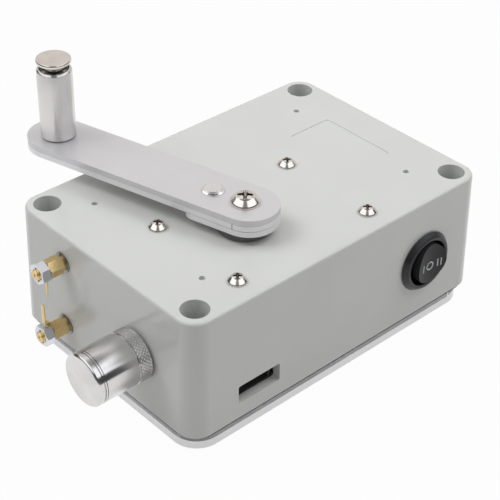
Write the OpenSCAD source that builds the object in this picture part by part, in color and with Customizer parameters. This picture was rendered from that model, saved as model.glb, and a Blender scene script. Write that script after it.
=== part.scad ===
// Hand crank generator: a grey case on a clear base cover, with a gearbox and a generator inside.
// The origin is the middle of the underside. X runs along the case and Z is up. The -Y face holds
// the switch and the USB slot, and the -X face holds the knob and the two terminals.

/* [Case] */
// Length of the case across its top
case_l = 134; // [124:1:150]
// Width of the case across its top
case_w = 92; // [88:1:110]
// Height of the grey case, without the clear cover
case_h = 46.2; // [44:0.1:60]
// How much further out the rim is than the top, on each side
draft = 0.8; // [0.2:0.1:1.5]
// Radius of the upright corners
corner_r = 7.2; // [5:0.1:10]
// Rounding of the top edge
edge_r = 1.2; // [0.4:0.1:2.5]
// Thickness of the side walls
wall_t = 2.5; // [2:0.1:4]
// Thickness of the top
top_t = 2.5; // [2:0.1:4]
// Distance of each corner well from the edges of the top
well_inset = 7.5; // [7:0.1:9]
// Bore of the corner wells
well_d = 9.6; // [8:0.1:10.4]
// Wall of the corner wells
well_wall = 2; // [1.4:0.1:2.6]
// Thickness of the floor of the wells, under the screw heads
well_floor = 5; // [3:0.1:8]
// Distance of the small pits and of the inner posts from the end faces
pit_from_end = 19.5; // [18.5:0.1:27]
// Distance of the small pits and of the inner posts from the long faces
pit_from_side = 18.1; // [17.5:0.1:19]
// Diameter of the small pits
pit_d = 2.2; // [1.4:0.1:3]
// Depth of the small pits
pit_depth = 1.2; // [0.6:0.1:1.6]
// Length of the shallow recess in the top, along the case
recess_l = 19.5; // [10:0.5:26]
// Width of the shallow recess
recess_w = 31.8; // [20:0.1:40]
// Depth of the shallow recess
recess_depth = 0.3; // [0.1:0.05:0.6]

/* [Clear cover] */
// Height of the clear cover
cover_h = 5.8; // [5:0.1:9]
// Thickness of its floor
cover_floor = 2.6; // [2:0.1:3.5]
// Thickness of its walls
cover_wall = 2.6; // [2.4:0.1:3.4]
// How far its sides stand back from the rim of the case
cover_inset = 1.2; // [0.8:0.1:1.6]
// Radius of its corners
cover_r = 9.8; // [8.5:0.1:11]
// Thickness of the gasket, squeezed
gasket_t = 1; // [0.6:0.1:1.6]
// Width of the gasket
gasket_w = 1.4; // [1:0.1:1.7]
// Shank diameter of the cover screws
cover_screw_d = 3.5; // [3:0.1:4]

/* [Gearbox] */
// Middle of the gearbox along the case, from the middle of the case
gearbox_x = -10.7; // [-12:0.1:-9]
// Middle of the gearbox across the case
gearbox_y = -16.8; // [-17.5:0.1:-16]
// Spacing of the gearbox screws along the case
screw_dx = 59; // [58:0.5:64]
// Spacing of the gearbox screws across the case
screw_dy = 39.5; // [39:0.5:42]
// Shank diameter of the gearbox screws
screw_d = 3.5; // [3:0.1:4]
// Head diameter of the gearbox screws
screw_head_d = 6.6; // [6:0.1:8]
// Edge of the plates outside the screws
plate_edge = 3.5; // [3:0.1:4]
// Thickness of each gearbox plate
plate_t = 2; // [1.5:0.1:3]
// Room between the two plates
plate_gap = 12.5; // [12.5:0.1:14]
// Crank shaft from the middle of the gearbox, along the case
shaft_x = -7.5; // [-8.5:0.1:-7]
// Crank shaft from the middle of the gearbox, across the case
shaft_y = 1.1; // [0.5:0.1:1.6]
// Diameter of the crank shaft
shaft_d = 8; // [7:0.1:9]
// Module of the first pair of gears
module_a = 1; // [0.95:0.01:1]
// Teeth of the input gear
input_teeth = 46; // [44:1:46]
// Teeth of the idler pinion
idler_pinion_teeth = 12; // [11:1:13]
// Module of the second pair of gears
module_b = 0.8; // [0.75:0.01:0.8]
// Teeth of the idler wheel
idler_teeth = 40; // [36:1:41]
// Teeth of the pinion on the generator shaft
rotor_teeth = 12; // [11:1:13]
// Direction from the crank shaft to the idler pin, in degrees
idler_turn = -2.2; // [-8:0.1:2]
// Direction from the idler pin to the generator shaft, in degrees
rotor_turn = 150; // [146:1:156]
// Diameter of the idler pin
idler_pin_d = 4; // [3:0.1:5]

/* [Generator] */
// Diameter of the generator
can_d = 33; // [28:0.5:33]
// Length of the generator with its end cap
can_l = 27; // [22:0.5:28]
// Wall of the generator can
can_wall = 1.2; // [0.8:0.1:1.6]
// Diameter of the generator shaft
rotor_shaft_d = 3.2; // [2.4:0.1:4]

/* [Crank] */
// Distance from the crank shaft to the handle
crank_r = 77.6; // [60:0.1:95]
// Direction of the crank at rest, in degrees
crank_turn = 105.5; // [0:0.5:359]
// Width of the crank arm
arm_w = 21; // [19:0.5:26]
// Thickness of each plate of the arm
arm_t = 2.2; // [1.6:0.1:3]
// Space between the case and the arm
arm_gap = 3.3; // [2.6:0.1:5]
// How far the round hub end of the arm is moved out past the shaft
hub_over = 1.5; // [0:0.1:2.5]
// How far the round handle end of the arm is moved out past the handle
handle_over = 0.7; // [0:0.1:2]
// Length of the short hub plate beyond the shaft
hub_plate_l = 18.5; // [17.5:0.5:30]
// Distance of the flat rivet from the shaft
rivet_r = 12.6; // [11:0.1:14]
// Head diameter of the flat rivet
rivet_d = 7.8; // [6:0.1:9]
// Diameter of the black hub collar
collar_d = 19.4; // [15:0.1:20]
// Head diameter of the crank screw
crank_screw_head_d = 10; // [8.5:0.1:11]
// Shank diameter of the crank screw
crank_screw_d = 5; // [4:0.1:5.2]
// Diameter of the handle sleeve
sleeve_d = 12.4; // [11:0.1:16]
// Length of the handle sleeve
sleeve_l = 26.2; // [20:0.1:60]
// Diameter of the spindle in the sleeve
spindle_d = 6; // [4.5:0.1:7]
// Diameter of the neck under the disc
neck_d = 8.6; // [7.4:0.1:9.4]
// Height of the neck that shows above the sleeve
neck_h = 2.3; // [1:0.1:4]
// Diameter of the disc on the handle
disc_d = 12.3; // [10:0.1:16]
// Thickness of the disc
disc_t = 1; // [0.8:0.1:2.5]

/* [Switch] */
// Distance of the middle of the switch from the far end face
switch_from_end = 27.6; // [25:0.1:30]
// Depth of the middle of the switch below the top
switch_drop = 24.8; // [22:0.1:26]
// Diameter of the panel hole
switch_hole_d = 20.1; // [19:0.1:20.6]
// Diameter of the bezel
bezel_d = 23; // [22:0.1:26]
// Thickness of the bezel
bezel_t = 2; // [1.5:0.1:3]
// Tilt of the rocker to each side, in degrees
rocker_tilt = 11; // [6:1:11]

/* [Knob] */
// Distance of the knob from the middle of the end face, towards the switch side
knob_y = -18.8; // [-20:0.1:-18]
// Depth of the middle of the knob below the top
knob_drop = 25; // [23:0.1:26]
// Diameter of the knob
knob_d = 18.6; // [16.5:0.1:22]
// Length of the knob
knob_l = 21.1; // [16:0.1:28]
// Space between the knob and the case
knob_gap = 0.8; // [0.5:0.1:2]
// Length of the knurled band at the case
band_l = 5.2; // [3:0.1:7]
// Diameter of the potentiometer shaft
pot_shaft_d = 6; // [5:0.1:6.1]
// Diameter of the potentiometer bush
pot_bush_d = 7; // [6.9:0.1:8]
// Diameter of the potentiometer
pot_d = 17; // [15:0.1:18]

/* [Terminals] */
// Distance of the terminals from the middle of the end face
terminal_y = 20.4; // [18:0.1:24]
// Depth of the upper terminal below the top
terminal_drop_upper = 11; // [10:0.1:12]
// Depth of the lower terminal below the top
terminal_drop_lower = 37; // [34:0.1:38]
// Diameter of the brass studs
stud_d = 4; // [3:0.1:4.4]
// Width of the brass barrels across flats
barrel_af = 6; // [5.5:0.1:8]
// Length of the brass barrels
barrel_l = 5.5; // [4:0.1:9]
// Width of the nuts across flats
nut_af = 7; // [6.5:0.1:8]
// Thickness of the nuts
nut_t = 3.2; // [2.4:0.1:4]
// How far the outer nuts can be slackened
nut_travel = 0.9; // [0.5:0.1:1.5]

/* [USB] */
// Distance of the middle of the slot from the end face with the knob
usb_from_end = 28.4; // [27.5:0.1:29.5]
// Depth of the middle of the slot below the top
usb_drop = 37.1; // [36:0.1:38]
// Length of the slot
slot_l = 18.2; // [15:0.1:20]
// Height of the slot
slot_h = 7; // [6:0.1:7.6]
// Width of the socket
socket_w = 14.4; // [13.4:0.1:15]
// Height of the socket
socket_h = 6.6; // [6.2:0.1:7]
// Depth of the socket
socket_l = 14; // [10:0.1:15]

/* [Power board] */
// Distance of the power board from the end faces
board_from_end = 16; // [15:0.5:17]
// Width of the power board
board_w = 29; // [26:0.5:29.5]
// Thickness of the boards
board_t = 1.6; // [1:0.1:2]
// Height of the posts under the top
post_h = 6; // [4:0.1:8]
// Diameter of the capacitors
cap_d = 12.5; // [8:0.5:13]
// Length of the capacitors
cap_l = 20; // [12:0.5:24]
// Thickness of the wires over their insulation
wire_d = 1.6; // [1:0.1:1.8]

/* [Hidden] */
$fn = 64;

// Small gaps: a seat between fixed parts, a turning fit, and the space round moving parts
seat = 0.02;
turning = 0.05;
free = 0.3;

// How the case compares with the one in the list above. The inner pieces shrink with a smaller case
as_long = case_l / 134;
as_wide = case_w / 92;
as_high = case_h / 46.2;
fit = min(1, as_long, as_wide);
pit_dx = case_l - 2 * pit_from_end;
pit_dy = case_w - 2 * pit_from_side;
pit_fit = pit_dx / 95;
well_reach = well_inset + well_d / 2 + well_wall;
switch_x = case_l / 2 - switch_from_end;
usb_x = usb_from_end - case_l / 2;
board_l = case_l - 2 * board_from_end;
board_width = board_w * min(1, as_wide);

// Heights of the case
z_rim = cover_h + gasket_t;
z_top = z_rim + case_h;
z_ceiling = z_top - top_t;

// Gearbox levels and centres
z_plate_b = z_ceiling - plate_t;
z_plate_a = z_plate_b - plate_gap - plate_t;
z_floor = z_plate_a + plate_t;
plate_l = fit * screw_dx + 2 * plate_edge;
plate_w = fit * screw_dy + 2 * plate_edge;
box_mid = [min(gearbox_x * as_long, switch_x - switch_hole_d / 2 - 1 - plate_l / 2), gearbox_y * as_wide];
shaft_at = box_mid + fit * [shaft_x, shaft_y];
coarse = fit * module_a;
fine = fit * module_b;
centre_a = coarse * (input_teeth + idler_pinion_teeth) / 2;
centre_b = fine * (idler_teeth + rotor_teeth) / 2;
idler_at = shaft_at + centre_a * [cos(idler_turn), sin(idler_turn)];
rotor_at = idler_at + centre_b * [cos(rotor_turn), sin(rotor_turn)];
flange_t = 1.2;
wheel_t = 4;
input_t = 5;
z_wheel = z_floor + flange_t + 0.2;
z_input = z_wheel + wheel_t + 0.9;
tooth_shift = 0.35;
tooth_slack = 0.14;
pressure = 20;
bearing_d = 2 * shaft_d;
bearing_flange_d = bearing_d + 2.4;
bearing_flange_t = 0.8;
bush_d = shaft_d + 2;
bush_flange_d = shaft_d + 5 * fit;
boss_d = 10 * fit;
hub_d = shaft_d + 6 * fit;
screw_head_h = 2.4;
gear_nut_t = 2.8;

// Generator levels
z_can_top = z_plate_a;
can_width = fit * can_d;
can_height = min(can_l, z_can_top - cover_floor - 4.4);
z_can_base = z_can_top - can_height;
cap_flange = 1.6;
cap_depth = 2;
can_end_t = 1.5;
armature_d = 0.64 * can_width;
magnet_gap = 0.6;
z_cap_top = z_can_base + cap_flange + cap_depth;
commutator_d = rotor_shaft_d + 4;
generator_screw_d = 3;
generator_screw_r = 8 * fit;

// Crank levels
z_arm = z_top + arm_gap;
z_arm_mid = z_arm + arm_t;
z_arm_low = z_arm_mid + arm_t;
z_arm_top = z_arm_low + arm_t;
drive_flat = 0.75 * shaft_d;
arm_reach = crank_r + handle_over + arm_w / 2;
z_sleeve = z_arm_top + free;
z_sleeve_top = z_sleeve + sleeve_l;
z_disc = z_sleeve_top + neck_h + free;

// Places on the case faces
z_switch = z_top - switch_drop * as_high;
z_knob = z_top - knob_drop * as_high;
z_upper = z_top - terminal_drop_upper * as_high;
z_lower = z_top - terminal_drop_lower * as_high;
z_usb = z_top - usb_drop * as_high;
y_knob = max(knob_y * as_wide, well_reach + pot_d / 2 + 0.2 - case_w / 2);
y_terminal = terminal_y * as_wide;
y_switch = -face_y(z_switch) - bezel_d / 2 * slope();
switch_depth = 14;
rocker_pivot = 2;
bezel_bore = switch_hole_d - 2.5;
x_knob = -face_x(z_knob) - knob_gap;
knob_hollow_d = pot_bush_d + 7;
knob_hollow_l = 5.2;
washer_t = 0.8;
washer_d = stud_d + 5;
tag_t = 0.4;
inner_y = case_w / 2 - wall_t;
inner_x = case_l / 2 - wall_t;

// Boards
z_usb_top = z_usb - socket_h / 2;
z_usb_board = z_usb_top - board_t;
usb_board_l = 28;
usb_board_w = 24 * fit;
usb_board_mid = [usb_x + 1.1, -inner_y + free + usb_board_w / 2];
usb_post_dx = 22;
usb_post_dy = 18 * fit;
z_board = z_ceiling - post_h - board_t;
board_mid_y = pit_dy / 2 - 0.4;

// How far the sloping wall has moved out at a height
function slope() = draft / case_h;
function moved_out(z) = (z_top - z) * slope();
function face_x(z) = case_l / 2 + moved_out(z);
function face_y(z) = case_w / 2 + moved_out(z);

// Points at the corners of a rectangle
function corners(dx, dy) = [for (sx = [-1, 1], sy = [-1, 1]) [sx * dx / 2, sy * dy / 2]];
well_at = corners(case_l - 2 * well_inset, case_w - 2 * well_inset);
pit_at = corners(pit_dx, pit_dy);
screw_at = [for (p = corners(fit * screw_dx, fit * screw_dy)) p + box_mid];
usb_post_at = [for (p = corners(usb_post_dx, usb_post_dy)) p + usb_board_mid];

module round_rect(l, w, r) {
    square([l - 2 * r, w], center = true);
    square([l, w - 2 * r], center = true);
    for (p = corners(l - 2 * r, w - 2 * r)) translate(p) circle(r);
}

module slab(l, w, r, t) {
    linear_extrude(t) round_rect(l, w, r);
}

// A rod between two heights
module rod(d, z0, z1) {
    translate([0, 0, z0]) cylinder(d = d, h = z1 - z0);
}

module tube(d, bore, z0, z1) {
    difference() {
        rod(d, z0, z1);
        rod(bore, z0 - 1, z1 + 1);
    }
}

// Turns a shape that stands on Z so that it points out of the -X or the -Y face
module out_x() {
    rotate([0, -90, 0]) children();
}

module out_y() {
    rotate([90, 0, 0]) children();
}

module hex_rod(af, z0, z1) {
    translate([0, 0, z0]) cylinder(r = af / 2 / cos(30), h = z1 - z0, $fn = 6);
}

// A hexagon with its corners turned off at both ends
module hex_piece(af, bore, z0, z1) {
    difference() {
        intersection() {
            hex_rod(af, z0, z1);
            turned_ends(af / cos(30), 0.12 * af, z0, z1);
        }
        rod(bore, z0 - 1, z1 + 1);
    }
}

// A turned blank whose two ends are chamfered
module turned_ends(d, c, z0, z1) {
    rotate_extrude() polygon([[0, z0], [d / 2 - c, z0], [d / 2, z0 + c / 2],
        [d / 2, z1 - c / 2], [d / 2 - c, z1], [0, z1]]);
}

// A screw with a pan head above z = 0 and a cross recess
module pan_screw(head, head_h, shank, l) {
    r = head / 2;
    difference() {
        rotate_extrude() polygon([[0, 0], [r, 0], [r, 0.35 * head_h], [0.86 * r, 0.72 * head_h],
            [0.55 * r, 0.94 * head_h], [0, head_h]]);
        for (a = [0, 90]) rotate(a) translate([-0.5 * r, -0.09 * r, 0.4 * head_h]) cube([r, 0.18 * r, head_h]);
    }
    rod(shank, -l, 0.2 * head_h);
}

// Gear outline: half the angle of a tooth at a radius, and the radii along its flank
function involute(a) = tan(a) * 180 / PI - a;
function tooth_half(m, n, shift, r) =
    let (pitch_r = m * n / 2)
    let (base_r = pitch_r * cos(pressure))
    let (width = m * (PI / 2 + 2 * shift * tan(pressure)) - tooth_slack)
    width / 2 / pitch_r * 180 / PI + involute(pressure) - involute(acos(min(1, base_r / r)));
function flank_radii(m, n, shift) =
    let (base_r = m * n / 2 * cos(pressure))
    let (root_r = m * (n / 2 - 1.25 + shift))
    let (tip_r = m * (n / 2 + 1 + shift))
    let (start_r = max(base_r, root_r))
    concat([root_r], [for (i = [0:3]) start_r + (tip_r - start_r) * i / 3]);
function gear_points(m, n, shift, phase) =
    let (radii = flank_radii(m, n, shift))
    [for (k = [0:n - 1], side = [-1, 1], i = [0:4])
        let (r = radii[side < 0 ? i : 4 - i])
        let (a = phase + 360 * k / n + side * tooth_half(m, n, shift, r))
        r * [cos(a), sin(a)]];

module gear(m, n, shift, phase, z0, t) {
    translate([0, 0, z0]) linear_extrude(t) polygon(gear_points(m, n, shift, phase));
}

module at(p) {
    translate([p[0], p[1], 0]) children();
}

// A layer of the outer shape of the case, set in from its side
module case_layer(z, inset) {
    grow = moved_out(z) - inset;
    r = corner_r + grow;
    translate([0, 0, z - 0.01]) slab(case_l + 2 * grow, case_w + 2 * grow, r, 0.01, $fn = 32);
}

module case_outside() {
    hull() {
        case_layer(z_rim + 0.01, 0);
        for (a = [0:22.5:90]) case_layer(z_top - edge_r + edge_r * sin(a), edge_r * (1 - cos(a)));
    }
}

module housing() color([0.80, 0.82, 0.79]) {
    difference() {
        union() {
            difference() {
                case_outside();
                translate([0, 0, z_rim - 1]) slab(2 * inner_x, 2 * inner_y, corner_r - wall_t, z_ceiling - z_rim + 1);
            }
            intersection() {
                case_outside();
                for (p = well_at) at(p) rod(well_d + 2 * well_wall, z_rim, z_ceiling + 0.5);
            }
            for (p = pit_at) at(p) rod(6, z_ceiling - post_h, z_ceiling + 0.5);
        }
        for (p = well_at) at(p) {
            rod(well_d, z_rim + well_floor, z_top + 1);
            rod(cover_screw_d + 0.4, z_rim - 1, z_rim + well_floor + 1);
        }
        for (p = pit_at) at(p) {
            rod(pit_d, z_top - pit_depth, z_top + 1);
            rod(2.5, z_ceiling - post_h - 1, z_ceiling - 1);
        }
        for (p = screw_at) at(p) rod(screw_d + 0.4, z_ceiling - 1, z_top + 1);
        at(shaft_at) rod(bearing_d + 2 * seat, z_ceiling - 1, z_top + 1);
        translate([42.4 / 67 * case_l / 2, 0.2, z_top - recess_depth]) slab(recess_l, recess_w, 1.5, 1);
        translate([switch_x, 0, z_switch]) out_y() rod(switch_hole_d, inner_y - 1, case_w);
        translate([usb_x - slot_l / 2, -case_w, z_usb - slot_h / 2]) cube([slot_l, case_w - inner_y + 1, slot_h]);
        translate([0, y_knob, z_knob]) out_x() rod(pot_bush_d + 0.2, inner_x - 1, case_l);
        for (z = [z_upper, z_lower]) translate([0, y_terminal, z]) out_x() rod(stud_d + 0.2, inner_x - 1, case_l);
    }
}

module clear_cover() color([0.86, 0.90, 0.92, 0.4]) {
    l = case_l + 2 * draft - 2 * cover_inset;
    w = case_w + 2 * draft - 2 * cover_inset;
    difference() {
        union() {
            difference() {
                slab(l, w, cover_r, cover_h);
                translate([0, 0, cover_floor]) slab(l - 2 * cover_wall, w - 2 * cover_wall, cover_r - cover_wall, cover_h);
            }
            for (p = well_at) at(p) rod(cover_screw_d + 5.5, cover_floor - 1, cover_h);
        }
        for (p = well_at) at(p) rod(cover_screw_d + 2 * turning, 1.4, cover_h + 1);
    }
}

module gasket() color([0.13, 0.13, 0.14]) {
    inset = cover_inset + 0.6;
    l = case_l + 2 * draft - 2 * inset;
    w = case_w + 2 * draft - 2 * inset;
    r = cover_r - 0.6;
    translate([0, 0, cover_h]) difference() {
        slab(l, w, r, gasket_t);
        translate([0, 0, -1]) slab(l - 2 * gasket_w, w - 2 * gasket_w, r - gasket_w, gasket_t + 2);
    }
}

module cover_screws() color([0.75, 0.74, 0.72]) {
    for (p = well_at) translate([p[0], p[1], z_rim + well_floor])
        pan_screw(2 * cover_screw_d, screw_head_h, cover_screw_d, z_rim + well_floor - 1.8);
}

module plate_blank(z) {
    translate([box_mid[0], box_mid[1], z]) slab(plate_l, plate_w, plate_edge, plate_t);
}

module gearbox_top_plate() color([0.70, 0.70, 0.68]) {
    difference() {
        plate_blank(z_plate_b);
        for (p = screw_at) at(p) rod(screw_d + 0.3, z_plate_b - 1, z_ceiling + 1);
        at(shaft_at) rod(bearing_d + 2 * seat, z_plate_b - 1, z_ceiling + 1);
        at(idler_at) rod(idler_pin_d + 2 * seat, z_plate_b - 1, z_ceiling + 1);
    }
}

module gearbox_bottom_plate() color([0.70, 0.70, 0.68]) {
    difference() {
        plate_blank(z_plate_a);
        for (p = screw_at) at(p) rod(screw_d + 0.3, z_plate_a - 1, z_floor + 1);
        at(shaft_at) rod(bush_d + 2 * seat, z_plate_a - 1, z_floor + 1);
        at(idler_at) rod(idler_pin_d + 2 * seat, z_plate_a - 1, z_floor + 1);
        at(rotor_at) rod(boss_d + 2 * seat, z_plate_a - 1, z_floor + 1);
        generator_screw_places() rod(generator_screw_d + 0.2, z_plate_a - 1, z_floor + 1);
    }
}

// The two screws of the generator stand across the line to the crank shaft
module generator_screw_places() {
    d = rotor_at - shaft_at;
    a = atan2(d[1], d[0]) + 90;
    for (s = [-1, 1]) at(rotor_at + s * generator_screw_r * [cos(a), sin(a)]) children();
}

module gearbox_spacers() color([0.78, 0.78, 0.76]) {
    for (p = screw_at) at(p) tube(screw_d + 3.5, screw_d + 0.3, z_floor, z_plate_b);
}

module gearbox_screws() color([0.80, 0.77, 0.73]) {
    for (p = screw_at) translate([p[0], p[1], z_top])
        rotate(25) pan_screw(screw_head_d, screw_head_h, screw_d, z_top - z_plate_a + gear_nut_t + 1);
}

module gearbox_nuts() color([0.75, 0.75, 0.74]) {
    for (p = screw_at) at(p) hex_piece(1.75 * screw_d, screw_d + 0.1, z_plate_a - gear_nut_t, z_plate_a);
}

module upper_bearing() color([0.62, 0.60, 0.56]) {
    at(shaft_at) {
        tube(bearing_d, shaft_d + 2 * turning, z_plate_b - bearing_flange_t, z_top - 0.2);
        tube(bearing_flange_d, shaft_d + 2 * turning, z_plate_b - bearing_flange_t, z_plate_b);
    }
}

module lower_bush() color([0.72, 0.56, 0.34]) {
    at(shaft_at) {
        tube(bush_d, shaft_d + 2 * turning, z_plate_a + 0.1, z_floor + flange_t);
        tube(bush_flange_d, shaft_d + 2 * turning, z_floor, z_floor + flange_t);
    }
}

module input_gear() color([0.74, 0.73, 0.70]) {
    at(shaft_at) difference() {
        union() {
            gear(coarse, input_teeth, -tooth_shift, idler_turn, z_input, input_t);
            rod(hub_d, z_wheel, z_input + 1);
        }
        rod(shaft_d + 2 * seat, z_floor, z_ceiling);
        for (a = [0:60:300]) rotate(a) translate([0.6 * coarse * input_teeth / 2, 0, 0])
            rod(coarse * input_teeth / 6, z_input - 1, z_input + input_t + 1);
    }
}

module idler_wheel() color([0.90, 0.88, 0.80]) {
    at(idler_at) difference() {
        gear(fine, idler_teeth, -tooth_shift, rotor_turn, z_wheel, wheel_t);
        rod(idler_pin_d + 2 * turning, z_floor, z_ceiling);
        for (a = [0:72:288]) rotate(a) translate([0.62 * fine * idler_teeth / 2, 0, 0])
            rod(fine * idler_teeth / 6, z_wheel - 1, z_wheel + wheel_t + 1);
    }
}

module idler_pinion() color([0.74, 0.73, 0.70]) {
    phase = idler_turn + 180 + 180 / idler_pinion_teeth;
    at(idler_at) difference() {
        gear(coarse, idler_pinion_teeth, tooth_shift, phase, z_wheel + wheel_t, input_t + 1.2);
        rod(idler_pin_d + 2 * turning, z_floor, z_ceiling);
    }
}

module idler_pin() color([0.82, 0.82, 0.82]) {
    at(idler_at) rod(idler_pin_d, z_plate_a, z_ceiling - 0.1);
    at(idler_at) rod(idler_pin_d + 3, z_floor, z_wheel - 0.1);
}

module generator_can() color([0.66, 0.67, 0.69]) {
    difference() {
        at(rotor_at) union() {
            rod(can_width, z_can_base + cap_flange, z_can_top);
            rod(boss_d, z_can_top - 0.5, z_floor - 0.1);
        }
        at(rotor_at) rod(can_width - 2 * can_wall, z_can_base, z_can_top - can_end_t);
        at(rotor_at) rod(rotor_shaft_d + 2 * turning, z_can_base, z_floor + 1);
        generator_screw_places() rod(generator_screw_d + 2 * seat, z_can_top - can_end_t - 1, z_can_top + 1);
    }
}

module generator_magnets() color([0.16, 0.16, 0.17]) {
    bore = armature_d + 2 * magnet_gap;
    z0 = z_cap_top + 1;
    at(rotor_at) difference() {
        tube(can_width - 2 * can_wall - 2 * seat, bore, z0, z_can_top - can_end_t);
        translate([-can_width, -0.12 * can_width, z0 - 1]) cube([2 * can_width, 0.24 * can_width, can_height]);
    }
}

module generator_end_cap() color([0.12, 0.12, 0.13]) {
    at(rotor_at) difference() {
        union() {
            rod(can_width, z_can_base, z_can_base + cap_flange);
            rod(can_width - 2 * can_wall - 2 * seat, z_can_base, z_can_base + cap_flange + cap_depth);
        }
        rod(rotor_shaft_d + 2 * turning, z_can_base + 0.8, z_can_top);
        for (s = [-1, 1]) translate([s * 0.27 * can_width - 1.6, -0.4, z_can_base - 1]) cube([3.2, 0.8, can_height]);
    }
}

module generator_tabs() color([0.80, 0.66, 0.34]) {
    at(rotor_at) for (s = [-1, 1]) translate([s * 0.27 * can_width - 1.5, -0.3, z_can_base - 2.6])
        cube([3, 0.6, 2.6 + cap_flange + cap_depth]);
}

// Two carbon blocks that press on the commutator
module generator_brushes() color([0.22, 0.20, 0.20]) {
    at(rotor_at) difference() {
        for (s = [-1, 1]) translate([s * 0.165 * can_width - 2.6, -2, z_cap_top]) cube([5.2, 4, 3.2]);
        rod(commutator_d + 2 * turning, z_can_base, z_can_top);
    }
}

module generator_screws() color([0.78, 0.77, 0.74]) {
    generator_screw_places() {
        rod(1.8 * generator_screw_d, z_floor, z_floor + 1);
        rod(generator_screw_d, z_can_top - can_end_t, z_floor + 0.5);
    }
}

module armature() color([0.50, 0.38, 0.28]) {
    z0 = z_cap_top;
    at(rotor_at) {
        difference() {
            rod(armature_d, z0 + 4, z_can_top - can_end_t - 3);
            rod(rotor_shaft_d + 2 * seat, z0, z_can_top);
            for (a = [0:120:240]) rotate(a + 30) translate([0.36 * armature_d, -0.8, z0]) cube([can_width, 1.6, can_height]);
        }
        tube(commutator_d, rotor_shaft_d + 2 * seat, z0 + 0.6, z0 + 4.5);
    }
}

module generator_shaft() color([0.80, 0.80, 0.80]) {
    at(rotor_at) rod(rotor_shaft_d, z_can_base + 1, z_wheel + wheel_t + 0.2);
}

module generator_pinion() color([0.80, 0.68, 0.40]) {
    phase = rotor_turn + 180 + 180 / rotor_teeth;
    at(rotor_at) difference() {
        gear(fine, rotor_teeth, tooth_shift, phase, z_wheel, wheel_t + 0.2);
        rod(rotor_shaft_d + 2 * seat, z_floor, z_ceiling);
    }
}

// The two flats of the shaft that drive the arm
module drive(slack, z0, z1) {
    intersection() {
        rod(shaft_d + 2 * slack, z0, z1);
        translate([-shaft_d, -drive_flat / 2 - slack, z0]) cube([2 * shaft_d, drive_flat + 2 * slack, z1 - z0]);
    }
}

// Places a shape that is drawn along +X on the crank
module on_crank() {
    at(shaft_at) rotate(crank_turn) children();
}

module crank_shaft() color([0.78, 0.78, 0.78]) {
    on_crank() difference() {
        union() {
            rod(shaft_d, z_plate_a + 0.3, z_arm);
            drive(0, z_arm - 0.5, z_arm_low);
        }
        rod(crank_screw_d + 2 * seat, z_arm_low - 12, z_arm_low + 1);
    }
}

module hub_collar() color([0.10, 0.10, 0.11]) {
    at(shaft_at) tube(collar_d, shaft_d + 2 * seat, z_top + 0.4, z_arm);
}

// A strip with round ends between two distances from the shaft
module strip(from, to, z0, t, r) {
    translate([0, 0, z0]) linear_extrude(t) difference() {
        union() {
            translate([from, 0]) circle(d = arm_w);
            translate([from, -arm_w / 2]) square([to - from - r, arm_w]);
            translate([to - r - 1, -arm_w / 2 + r]) square([r + 1, arm_w - 2 * r]);
            for (s = [-1, 1]) translate([to - r, s * (arm_w / 2 - r)]) circle(r);
        }
    }
}

module hub_plate() color([0.78, 0.78, 0.79]) {
    on_crank() difference() {
        union() {
            strip(-hub_over, hub_plate_l, z_arm, arm_t, 4);
            translate([-hub_over, 0, 0]) intersection() {
                rod(arm_w, z_arm, z_arm_low);
                translate([-arm_w, -arm_w, z_arm]) cube([arm_w - 0.1, 2 * arm_w, 2 * arm_t]);
            }
        }
        drive(seat, z_arm - 1, z_arm_low + 1);
        translate([rivet_r, 0, 0]) rod(5 + 2 * seat, z_arm - 1, z_arm_top + 1);
    }
}

module arm_lower_plate() color([0.78, 0.78, 0.79]) {
    on_crank() difference() {
        intersection() {
            strip(-hub_over, arm_reach, z_arm_mid, arm_t, arm_w / 2);
            translate([-hub_over, -arm_w, 0]) cube([2 * crank_r, 2 * arm_w, z_arm_top]);
        }
        drive(seat, z_arm - 1, z_arm_low + 1);
        translate([rivet_r, 0, 0]) rod(5 + 2 * seat, z_arm - 1, z_arm_top + 1);
        translate([crank_r, 0, 0]) rod(5 + 2 * seat, z_arm - 1, z_arm_top + 1);
    }
}

module arm_top_plate() color([0.80, 0.80, 0.82]) {
    on_crank() difference() {
        strip(-hub_over, arm_reach, z_arm_low, arm_t, arm_w / 2);
        rod(crank_screw_d + 0.2, z_arm - 1, z_arm_top + 1);
        translate([rivet_r, 0, 0]) rod(5 + 2 * seat, z_arm - 1, z_arm_top + 1);
        translate([crank_r, 0, 0]) rod(5 + 2 * seat, z_arm - 1, z_arm_top + 1);
    }
}

module arm_rivet() color([0.80, 0.80, 0.81]) {
    on_crank() translate([rivet_r, 0, 0]) {
        rod(5, z_arm, z_arm_top + 0.5);
        rotate_extrude() polygon([[0, z_arm_top], [rivet_d / 2, z_arm_top], [rivet_d / 2, z_arm_top + 0.8],
            [rivet_d / 2 - 0.3, z_arm_top + 1.1], [0, z_arm_top + 1.1]]);
    }
}

module crank_screw() color([0.80, 0.77, 0.73]) {
    on_crank() translate([0, 0, z_arm_top]) rotate(20)
        pan_screw(crank_screw_head_d, 3.2, crank_screw_d, arm_t + 10);
}

module handle_spindle() color([0.80, 0.77, 0.74]) {
    on_crank() translate([crank_r, 0, 0]) {
        rod(5, z_arm_mid, z_arm_top + 0.5);
        rod(spindle_d, z_arm_top, z_sleeve_top + free + 0.5);
        rod(neck_d, z_sleeve_top + free, z_disc + 0.5);
        turned_ends(disc_d, 0.3, z_disc, z_disc + disc_t);
    }
}

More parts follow.
